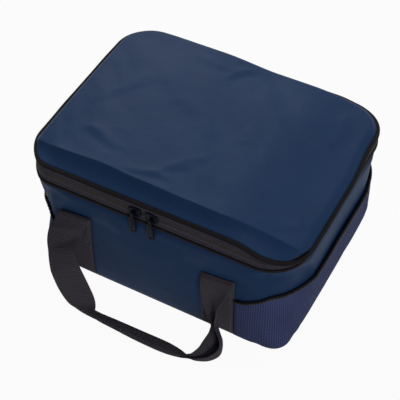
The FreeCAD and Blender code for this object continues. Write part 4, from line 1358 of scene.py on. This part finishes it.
def smooth_line(points, step):
    """Evenly spaced points on a smooth curve through the given ones (all three lines at once)."""
    points = np.array(points, float)
    padded = np.concatenate([2 * points[:1] - points[1:2], points, 2 * points[-1:] - points[-2:-1]])
    found = []
    for n in range(1, len(padded) - 2):
        p0, p1, p2, p3 = padded[n - 1:n + 3]
        count = max(2, round(np.linalg.norm(p2[1] - p1[1]) / step))
        for t in np.arange(count) / count:
            found.append(0.5 * (2 * p1 + (p2 - p0) * t + (2 * p0 - 5 * p1 + 4 * p2 - p3) * t**2
                                + (3 * p1 - p0 - 3 * p2 + p3) * t**3))
    found.append(padded[-2])
    return np.array(found)


def surface_normals(surface):
    """The direction that faces away from the webbing at each of its points."""
    normals = np.cross(np.gradient(surface, axis=0), np.gradient(surface, axis=1))
    return normals / (np.linalg.norm(normals, axis=2, keepdims=True) + 1e-12)


def crumple(surface, creases):
    """Push narrow valleys into the webbing: each has its place along both edges, depth and width."""
    normals = surface_normals(surface)
    run = distances(surface[:, RIBBON_MIDDLE])[:, None]
    share = np.linspace(0, 1, surface.shape[1])[None, :]
    push = np.zeros((len(run), surface.shape[1]))
    for at_first, at_last, depth, width in creases:
        apart = run - (at_first + (at_last - at_first) * share)
        push += depth * np.exp(-np.hypot(apart, 0.6 * MM) / width)
    edge_fade = 0.3 + 0.7 * smooth(np.minimum(share, 1 - share) / 0.2)
    return surface + (push * edge_fade)[..., None] * normals


def ribbon_surface(stations, step):
    """The webbing's middle surface, from smoothed stations, with its fold rounded off."""
    share = np.linspace(0, 1, RIBBON_COLUMNS)
    surface = np.stack([
        [a + (m - a) * 2 * s if s <= 0.5 else m + (b - m) * (2 * s - 1) for s in share]
        for a, m, b in smooth_line(stations, step)
    ])
    for _ in range(2):
        surface[:, 1:-1] = 0.25 * surface[:, :-2] + 0.5 * surface[:, 1:-1] + 0.25 * surface[:, 2:]
    return surface


print(len(CREASES), "creases in each loop")

# %% [markdown]
# ### Webbing with a thickness
# Webbing is cut from a roll, so its thickness is even, and only its two edges are thinner. A
# solidify modifier would thicken the surface too, but not thin its edges, so the surface is
# moved out both ways here.

# %% Thicken the ribbon


def ribbon(name, stations, thick):
    """Webbing as a closed solid: the middle surface moved out both ways, thinner at its edges."""
    surface = crumple(ribbon_surface(stations, 2.2 * MM), CREASES)
    normals = surface_normals(surface)
    n, m = surface.shape[:2]
    profile = np.full(m, 0.5 * thick)
    profile[0] = profile[-1] = 0.3 * thick
    half = profile[None, :, None] * normals
    rows = np.concatenate([surface + half, (surface - half)[:, ::-1]], axis=1)
    run = distances(surface[:, m // 2])
    cross = np.concatenate([np.linspace(0, STRAP_WIDE, m), np.linspace(STRAP_WIDE, 0, m), [0]])
    cloth = np.stack(np.meshgrid(run, cross, indexing="ij"), 2)
    return grid_object(name, rows, False, True, cloth, capped=True), surface, normals, run


print(f"webbing {WEB_THICK * 1000:.1f} mm thick")

# %% [markdown]
# ### Both loops
# The back loop is the front one turned round. Each real loop bends in its first few millimetres
# above the strap and swings from there. It could be cut in two at that line, but webbing has no
# pin there, so it is one piece, parented to no body.

# %% Both loops
GRIP_HALF, GRIP_TOP = 62 * MM, 7 * MM  # the folded grip: half its length, and its top at rest
for side, name, cad_node, body in (
    (-1, "front_loop", "front_handle", "front_handle"), (1, "back_loop", "back_handle", "back_handle"),
):
    stations = np.array(LOOP) * MM * ((1, 1, 1) if side < 0 else (-1, -1, 1))
    loop, surface, normals, run = ribbon(name, stations, WEB_THICK)
    dress(loop, black_webbing, "black_webbing", None, cad_node)
    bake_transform(loop)
    grip = np.flatnonzero((np.abs(surface[:, RIBBON_MIDDLE, 0]) < GRIP_HALF) & (surface[:, 0, 2] < GRIP_TOP))
    upward = np.where(normals[grip, 1][:, 2:] > 0, normals[grip, 1], -normals[grip, 1])
    top = surface[grip, 1] + upward * 0.55 * WEB_THICK
    grip_stitches = stitches(name + "_stitches", [(top, upward)], None)
    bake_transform(grip_stitches)
    print(f"{name}: {run[-1]:.3f} m of webbing")

# %% [markdown]
# ## Mesh pockets
# Each end of the box has a pocket of stretchy mesh. It is sewn in at the base and under the
# webbing, hugs the wall, and its bound mouth dips beside the webbing and rises round the
# corners. Simulated mesh would have to collide with the wall all over, so instead one function
# gives the mouth's height, and rays put the mesh on the wall.

# %% Where a pocket lies
POCKET_START = STRAP[1].x
MOUTH_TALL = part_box("right_pocket_binding")[1].z
POCKET_FOOT = 4 * MM  # height of the mesh's lower edge
POCKET_ROWS = 17


def pocket_line(side_x):
    """Stations from the front webbing round one end to the back webbing."""
    points, faces, run = rim_stations(4 * MM)
    picked = np.flatnonzero(side_x * points[:, 0] > POCKET_START - 1.5 * MM)
    order = picked[np.argsort(side_x * run[picked])]
    return points[order], faces[order]


def mouth_height(points):
    """Low beside the webbing, high round the corner, a shade lower along the side."""
    from_strap = np.abs(points[:, 0]) - POCKET_START
    along_side = smooth((RIM_Y - np.abs(points[:, 1])) / (60 * MM))
    rise = smooth(from_strap / (44 * MM))
    return MOUTH_TALL + (-13 + 19 * rise - 3 * along_side) * MM


def pocket_rows(points, faces, shares, mouth):
    """Rows of the mesh: shares go from the base to the mouth."""
    rows = []
    for point, face, top in zip(points, faces, mouth):
        slack = smooth((RIM_Y - 20 * MM - abs(point[1])) / (60 * MM))
        row = []
        for share in shares:
            height = POCKET_FOOT + (top - POCKET_FOOT) * share
            proud = (0.9 + (0.5 + 2.0 * slack) * share**2 + 0.5 * wander((*point, height), 30 * MM, 6)) * MM
            row.append(on_wall(point, face, height, max(proud, 0.5 * MM)))
        rows.append(row)
    return np.array(rows)


mouths = mouth_height(pocket_line(1)[0])
print(f"the mouth is {mouths.min() * 1000:.0f} to {mouths.max() * 1000:.0f} mm high")

# %% [markdown]
# ### Mesh and bound mouth
# Each pocket is a sheet of mesh with a tape folded over its upper edge and sewn through. The
# tape could be a thicker band of the mesh itself, but it is another material and stands proud,
# so it is a piece of its own along the same line.

# %% Make the pockets
MESH_THICK = 0.7 * MM
# The bound mouth's section, as (outwards, upwards) from the mesh's upper edge.
EDGE_SECTION = round_section(-1.2 * MM, 1.2 * MM, -3.9 * MM, 0.8 * MM, 0.6, 12)
for side_x, side_name in ((1, "right"), (-1, "left")):
    points, faces = pocket_line(side_x)
    mouth = mouth_height(points)
    shares = np.linspace(0, 1, POCKET_ROWS)
    inner = pocket_rows(points, faces, shares, mouth)
    outward = np.repeat(np.column_stack([faces, np.zeros(len(faces))])[:, None], POCKET_ROWS, 1)
    rows = np.concatenate([inner + MESH_THICK * outward, inner[:, ::-1]], axis=1)
    run = distances(points)
    tall = (mouth.max() - POCKET_FOOT) * np.concatenate([shares, shares[::-1], [0]])
    cloth = np.stack(np.meshgrid(run, tall, indexing="ij"), 2)
    pocket = grid_object(f"{side_name}_pocket", rows, False, True, cloth, capped=True)
    dress(pocket, pocket_mesh, "pocket_mesh", "body", f"{side_name}_mesh_pocket")
    edge, ring = inner[:, -1] + 0.4 * MM * outward[:, -1], []
    for out, up in EDGE_SECTION:
        ring.append(edge + out * outward[:, -1] + (0, 0, up))
    ring = np.stack(ring, 1)
    cross = across(EDGE_SECTION)
    cloth = np.stack(np.meshgrid(run, cross, indexing="ij"), 2)
    mouth_tape = grid_object(f"{side_name}_pocket_edge", ring, False, True, cloth, capped=True)
    dress(mouth_tape, black_binding, "black_binding", "body", f"{side_name}_pocket_binding")
    lower_line = edge + 1.15 * MM * outward[:, -1] - (0, 0, 1.7 * MM)
    stitches(f"{side_name}_pocket_stitches", [(lower_line, outward[:, -1])], "body", "black_binding")
    print(f"{side_name} pocket {run[-1]:.3f} m round, {mouth.max():.3f} m tall")

# %% [markdown]
# ## The base
# The base is a flat panel of the outer cloth, sewn in at the wall's foot. It could be one large
# face, but cloth is never quite level, so it is rings of points that shrink to the middle. They
# keep the rim's round corners too.


def ring_rows(shrinks, heights, start_inset):
    """Rings in the rim's shape that shrink towards the middle, each at its own height."""
    points, faces, _ = rim_stations(6 * MM)
    line = points - faces * start_inset
    rings = []
    for shrink, height in zip(shrinks, heights):
        rings.append(np.column_stack([line * shrink, np.full(len(line), height)]))
    return np.array(rings).transpose(1, 0, 2)


def disc(shrinks, lower, upper, start_inset, uneven=0.0, seed=0.0):
    """A thin closed disc: its upper face in from the edge, then its lower face back out."""
    heights = [upper] * len(shrinks) + [lower] * len(shrinks)
    rows = ring_rows(np.append(shrinks, shrinks[::-1]), heights, start_inset)
    for i, j in np.ndindex(*rows.shape[:2]):
        rows[i, j, 2] += uneven * wander((rows[i, j, 0], rows[i, j, 1], 0), 45 * MM, seed)
    cloth = np.concatenate([rows, rows[:, :1]], axis=1)
    cloth = np.concatenate([cloth, cloth[:1]], axis=0)[..., :2]
    return rows, cloth


shrinks = np.array((1, 0.99, 0.93, 0.8, 0.65, 0.5, 0.35, 0.2, 0.08, 0))
rows, cloth = disc(shrinks, 0.15 * MM, 1.0 * MM, 6.2 * MM, 0.12 * MM, 3)
base_cover = grid_object("base_cover", slump(rows), True, True, cloth, welded=True)
dress(base_cover, navy_polyester, "navy_polyester", "body", "base_panel")

# %% [markdown]
# ### Board and foam in the base
# On the base lie a ribbed plastic board, which keeps it flat, and a sheet of foam. Both are cut
# from flat stock and could be plain blocks. They use the base's own rings instead, so that they
# keep clear of the wall when the box slumps.

# %% Board and foam in the base
for name, cad_node, material, slot_name in (
    ("stiffening_board", "base_board", base_board, "base_board"), ("floor_foam", "base_foam", foam, "foam"),
):
    low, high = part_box(cad_node)
    rows, cloth = disc(shrinks, low.z + 0.1 * MM, high.z - 0.1 * MM, 11.2 * MM)
    layer_piece = grid_object(name, slump(rows), True, True, cloth, welded=True)
    dress(layer_piece, material, slot_name, "body", cad_node)
    print(f"{name} {(high.z - low.z) * 1000:.1f} mm thick")

# %% [markdown]
# ## The hinge strip
# At the back a strip of the wall's cloth joins the body and the lid, and it is the hinge. A pin
# would be wrong here, because cloth bends along its whole width. So it is one thin sheet with a
# slight bulge, parented to neither the body nor the lid.

# %% Hinge strip
CLOTH_THICK = 1.1 * MM
HINGE_INSET = 2.6 * MM  # from the rim's outline in to the strip's outer face
HINGE_LOW, HINGE_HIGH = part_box("hinge_strip")
strip_x = np.linspace(HINGE_LOW.x - 1 * MM, HINGE_HIGH.x + 1 * MM, 45)
strip_z = np.linspace(HINGE_LOW.z - 1.5 * MM, HINGE_HIGH.z + 1.5 * MM, 13)
rows = []
for x in strip_x:
    face = []
    for k, z in enumerate(strip_z):
        bulge = 1.0 * MM * math.sin(math.pi * k / (len(strip_z) - 1))
        bulge = bulge + 0.3 * MM * wander((x, 0, z), 18 * MM, 8)
        face.append((x, RIM_Y - HINGE_INSET + bulge, z))
    rows.append(face + [(x, y - CLOTH_THICK, z) for _, y, z in face[::-1]])
tall = np.concatenate([strip_z, strip_z[::-1], strip_z[:1]])
cloth = np.stack(np.meshgrid(strip_x, tall, indexing="ij"), 2)
hinge_cloth = grid_object("hinge_cloth", slump(rows), False, True, cloth, capped=True)
dress(hinge_cloth, navy_polyester, "navy_polyester", None, "hinge_strip")
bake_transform(hinge_cloth)
print(f"hinge strip {(strip_x[-1] - strip_x[0]) * 1000:.0f} mm long")

# %% [markdown]
# ## Scraps over the zip's ends
# A folded scrap of binding covers each end of the zip. It is sewn to the body below and to the
# lid above, and here it is parented to neither. It could be two halves, one for each side, but
# then a gap would open between them.

# %% Scraps over the zip's ends
SCRAP_COLUMNS, SCRAP_ROWS = 9, 11
for side_x, cad_node in ((1, "right_zip_end_tab"), (-1, "left_zip_end_tab")):
    low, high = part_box(cad_node)
    middle, half = (low.x + high.x) / 2, (high.x - low.x) / 2
    rows = []
    for x_share in np.linspace(-1, 1, SCRAP_COLUMNS):
        edge = 1 - 0.3 * abs(x_share) ** 8
        face = []
        for z in np.linspace(low.z - TAPE_OVERLAP, high.z + TAPE_OVERLAP, SCRAP_ROWS):
            pinch = 1 - 0.06 * math.cos((z - low.z) / (high.z - low.z) * 2 * math.pi)
            bulge = (0.35 * wander((x_share, z, 0), 8 * MM, side_x)) * MM
            face.append((middle + x_share * half * pinch, high.y + bulge, z))
        rows.append(face + [(x, y - CLOTH_THICK * edge, z) for x, y, z in face[::-1]])
    up, down = np.linspace(low.z, high.z, SCRAP_ROWS), np.linspace(high.z, low.z, SCRAP_ROWS)
    tall = np.concatenate([up, down, [low.z]])
    cloth = np.stack(np.meshgrid(np.linspace(low.x, high.x, SCRAP_COLUMNS), tall, indexing="ij"), 2)
    scrap = grid_object(cad_node.replace("tab", "cover"), slump(rows), False, True, cloth, capped=True)
    dress(scrap, black_binding, "black_binding", None, cad_node)
    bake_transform(scrap)
    print(f"{scrap.name} {2 * half * 1000:.0f} mm wide")

# %% [markdown]
# ## The lining's tub
# The lining is one welded tub of film: its walls hang from the rim's seam and its floor lies
# on the base foam. Film wrinkles where it turns corners. A cloth solver would need the foam
# behind it as a collider, so the tub is swept round the rim with its puckers written in.

# %% Lining tub
TUB_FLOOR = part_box("body_lining")[0].z
FLOOR_SHRINKS = (0.97, 0.9, 0.8, 0.68, 0.55, 0.42, 0.3, 0.18, 0)
tub_section = [(9.4, 119.6), (9.8, 120.9), (11.0, 120.9), (11.5, 119.0)]
LIP_POINTS = len(tub_section)
tub_section += [(11.5, z) for z in np.linspace(112, 22, 16)] + [(12.4, 14), (15.5, 10.6)]
tub_section = np.array(tub_section) * MM
points, faces, run = rim_stations(5 * MM)
wall_rows = on_rim(points, faces, tub_section)
for i, j in np.ndindex(*wall_rows.shape[:2]):
    if j >= LIP_POINTS:
        turn = 4 * abs(faces[i][0] * faces[i][1])
        pucker = 0.3 * math.sin(run[i] * 2 * math.pi / (11 * MM)) * (0.2 + turn)
        wall_rows[i, j, :2] -= faces[i] * (0.35 + pucker + 0.45 * wander(wall_rows[i, j], 26 * MM, 7)) * MM
line = wall_rows[:, -1]
floor_rows = []
for shrink in FLOOR_SHRINKS:
    ring = line * (shrink, shrink, 0) + (0, 0, TUB_FLOOR + 0.9 * MM)
    ring[:, 2] += [0.35 * MM * wander(p, 30 * MM, 11) for p in ring]
    floor_rows.append(ring)
upper = np.concatenate([wall_rows, np.stack(floor_rows, 1)], axis=1)
below = upper.copy()
below[:, LIP_POINTS:-len(FLOOR_SHRINKS), :2] += faces[:, None] * 0.5 * MM
below[:, -len(FLOOR_SHRINKS):, 2] -= 0.5 * MM
below[:, :LIP_POINTS, 2] -= 0.4 * MM
rows = np.concatenate([upper, below[:, ::-1]], axis=1)
depth = distances(upper[0])
cloth = np.stack(np.meshgrid(run, np.concatenate([depth, depth[::-1], [0]]), indexing="ij"), 2)
lining_tub = grid_object("lining_tub", slump(rows), True, True, cloth, welded=True)
dress(lining_tub, lining_film, "lining", "body", "body_lining")

# %% [markdown]
# ### The lid's lining
# The lid has a flat panel of the same film, sewn in with its piping. It could share the lid's
# own mesh, but it is a separate piece of another material, so it is a thin disc of its own.

# %% Lid lining
LID_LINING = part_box("lid_lining")
lining_low, lining_high = LID_LINING[0].z, LID_LINING[1].z - 0.1 * MM
rows, cloth = disc(shrinks, lining_low, lining_high, 5.9 * MM, 0.45 * MM, 12)
lid_lining = grid_object("lid_lining_film", slump(rows), True, True, cloth, welded=True)
dress(lid_lining, lining_film, "lining", "lid", "lid_lining")
print(f"lid lining {(lining_high - lining_low) * 1000:.1f} mm thick")

# %% [markdown]
# ## Sliders and pulls
# They are cast in zinc, so no edge is sharp: the metal shrinks and the paint fills the corners.
# They could be modelled from nothing, but they must slide and turn where the frame's solids do.
# So each starts as a copy of its solid, a slider gets the flanges that guide the coils and an
# oval shield, a pull is made a little wider, and a small bevel rounds every edge.

# %% A slider's shield
FLANGE_DEEP, FLANGE_THICK = 1.5 * MM, 0.6 * MM
COIL_FACE = 3.4 * MM - 1.2 * MM  # the coil's middle less half its depth, from the rim's outline in
SHIELD_PROUD = 0.35 * MM  # how far the shield stands out of the rim's outline
SHIELD_SHIFT = 0.93  # share of its slider's distance from the middle at which a shield sits
SHIELD_WIDE, SHIELD_TALL = 7.8, 5.8  # half sizes in mm
SHIELD_SQUARE = 2.6  # 2 would be an ellipse, and more is squarer
SHIELD_POINTS = 40
# From the front's border round to the back: share of the oval, and mm behind the front.
SHIELD_PROFILE = [
    (1.0, 2.6), (1.02, 1.6), (0.97, 0.5), (0.9, 0.0), (0.82, -0.1), (0.76, 0.12), (0.5, 0.1),
    (0.5, 1.2), (0.9, 1.3), (0.95, 2.5),
]
SHIELD_MIDDLE = 6  # the ring whose inside, and the next one's, are closed with a face


def add_shield(work, middle_x, middle_z):
    """The slider's outer plate: an oval that curves back to its flanges, with a raised border."""
    front = -RIM_Y - SHIELD_PROUD
    angles = np.linspace(0, 2 * math.pi, SHIELD_POINTS, endpoint=False)
    rings = []
    for share, back in SHIELD_PROFILE:
        ring = []
        for a, b in [(math.cos(angle), math.sin(angle)) for angle in angles]:
            bulge = (abs(a) ** SHIELD_SQUARE + abs(b) ** SHIELD_SQUARE) ** (-1 / SHIELD_SQUARE) * share
            taper = 1 - 0.16 * a * math.copysign(1, middle_x)
            x = middle_x + a * bulge * SHIELD_WIDE * MM
            z = middle_z + b * bulge * taper * SHIELD_TALL * MM
            ring.append(work.verts.new((x, front + back * MM, z)))
        rings.append(ring)
    for first, second in zip(rings, rings[1:] + rings[:1]):
        if first is rings[SHIELD_MIDDLE]:
            work.faces.new(first)
            work.faces.new(second[::-1])
            continue
        for k in range(SHIELD_POINTS):
            after = (k + 1) % SHIELD_POINTS
            work.faces.new((first[k], first[after], second[after], second[k]))


print(f"shield {2 * SHIELD_WIDE:.1f} x {2 * SHIELD_TALL:.1f} mm")

# %% [markdown]
# ### Casting
# A casting has no sharp edge anywhere. Rounding could be a trick of the shader, but real small
# faces catch the lamps better and are exported too, so a bevel cuts every edge.

# %% Cast sliders and pulls
PULL_WIDER = 1.25
BEVEL_WIDE = 0.3 * MM


def cast_piece(cad_node, body, flanges=False, wider=1.0):
    """A copy of a solid with rounded edges, standing for it."""
    work = bmesh.new()
    work.from_mesh(bpy.data.objects[cad_node].data)
    middle = (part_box(cad_node)[0].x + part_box(cad_node)[1].x) / 2
    for vertex in work.verts:
        vertex.co.x = middle + (vertex.co.x - middle) * wider
    bmesh.ops.remove_doubles(work, verts=work.verts, dist=0.005 * MM)
    if flanges:
        low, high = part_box(cad_node)
        plate_y = -RIM_Y + COIL_FACE
        for z in (low.z + FLANGE_THICK / 2, high.z - FLANGE_THICK / 2):
            size = Matrix.Diagonal(((high.x - low.x) * 0.86, FLANGE_DEEP, FLANGE_THICK, 1))
            place = Matrix.Translation(((low.x + high.x) / 2, plate_y, z))
            bmesh.ops.create_cube(work, size=1.0, matrix=place @ size)
    bmesh.ops.dissolve_limit(work, angle_limit=math.radians(2), verts=work.verts, edges=work.edges)
    if flanges:
        add_shield(work, (low.x + high.x) / 2 * SHIELD_SHIFT, (low.z + high.z) / 2)
    mesh = bpy.data.meshes.new(cad_node)
    work.to_mesh(mesh)
    work.free()
    piece = finished_object("cast_" + cad_node, mesh)
    bevel = piece.modifiers.new("rounded", "BEVEL")
    bevel.width, bevel.segments = BEVEL_WIDE, 2
    bevel.limit_method, bevel.angle_limit = "ANGLE", math.radians(40)
    bevel.harden_normals = False
    shown = piece.evaluated_get(bpy.context.evaluated_depsgraph_get())
    piece.modifiers.clear()
    piece.data = bpy.data.meshes.new_from_object(shown)
    piece.data.set_sharp_from_angle(angle=math.radians(35))
    return dress(piece, painted_zinc, "slider_metal", body, cad_node)


for side_name in ("left", "right"):
    cast_piece(f"{side_name}_slider", f"{side_name}_slider", flanges=True)
    cast_piece(f"{side_name}_pull", f"{side_name}_pull", wider=PULL_WIDER)
print("sliders and pulls cast")

# %% [markdown]
# ## The room
# The box stands on a plain white floor. The main lamp is large, soft and nearly overhead, a
# low one at the front right lights the right wall, and one behind on the left gives the lid
# its bright patch. A floor lit until it is white would throw that light back up on the walls,
# so it is a light grey that mostly glows, but only for rays that look straight at it.

# %% Floor and world
bpy.context.scene.view_settings.view_transform = "Standard"
GLOW_SHARE, SKY_LIGHT = 0.95, 0.16  # of the floor's look, and of the white sky's brightness


def seen_directly(tree):
    """1 for rays from the camera, a mirror-like surface or glass, which show the background."""
    path = node(tree, "ShaderNodeLightPath")
    reflected = node(
        tree, "ShaderNodeMath", {0: path.outputs["Is Glossy Ray"], 1: path.outputs["Is Transmission Ray"]},
        operation="MAXIMUM",
    )
    return node(
        tree, "ShaderNodeMath", {0: path.outputs["Is Camera Ray"], 1: reflected.outputs[0]},
        operation="MAXIMUM",
    ).outputs[0]


bpy.ops.mesh.primitive_plane_add(size=12, location=(0, 0, -0.3 * MM))
floor = bpy.context.object
floor.name = "floor"
white, tree, shader = new_material("matt_white_floor", Roughness=0.9)
shader.inputs["Base Color"].default_value = linear("b4b4b4")
glow = node(tree, "ShaderNodeEmission", {"Strength": 1.0})
share = node(tree, "ShaderNodeMath", {0: seen_directly(tree), 1: GLOW_SHARE}, operation="MULTIPLY")
mixed = node(tree, "ShaderNodeMixShader", {0: share.outputs[0], 1: shader.outputs[0], 2: glow.outputs[0]})
tree.links.new(mixed.outputs[0], tree.nodes["Material Output"].inputs["Surface"])
floor.data.materials.append(white)

sky = bpy.data.worlds.new("studio")
bpy.context.scene.world = sky
sky.use_nodes = True
tree = sky.node_tree
bright = node(tree, "ShaderNodeMath", {0: seen_directly(tree), 1: SKY_LIGHT}, operation="MAXIMUM")
tree.links.new(bright.outputs[0], tree.nodes["Background"].inputs["Strength"])
tree.nodes["Background"].inputs["Color"].default_value = (1, 1, 1, 1)


print("floor and sky are in place")

# %% [markdown]
# ### Lamps
# The lamps are round and large, so that shadows have soft edges. One lamp and a brighter sky
# would be simpler, but an even light hides the folds in the lid.

# %% Three soft lamps
LAMPS_AIM = Vector((0, 0, 0.08))


def soft_lamp(name, place, size, power):
    """A round lamp, size metres across and of power watts, that faces the box."""
    lamp = bpy.data.objects.new(name, bpy.data.lights.new(name, "AREA"))
    bpy.context.scene.collection.objects.link(lamp)
    lamp.data.shape, lamp.data.size, lamp.data.energy = "DISK", size, power
    lamp.location = place
    lamp.rotation_euler = (LAMPS_AIM - Vector(place)).to_track_quat("-Z", "Y").to_euler()
    print(f"{name} lamp, {power} W")


soft_lamp("key", (0.2, 0.7, 2.1), 0.9, 15.5)
soft_lamp("side", (1.3, -1.3, 0.45), 0.7, 9.5)
soft_lamp("back_left", (-1.2, 1.9, 1.6), 1.0, 23)
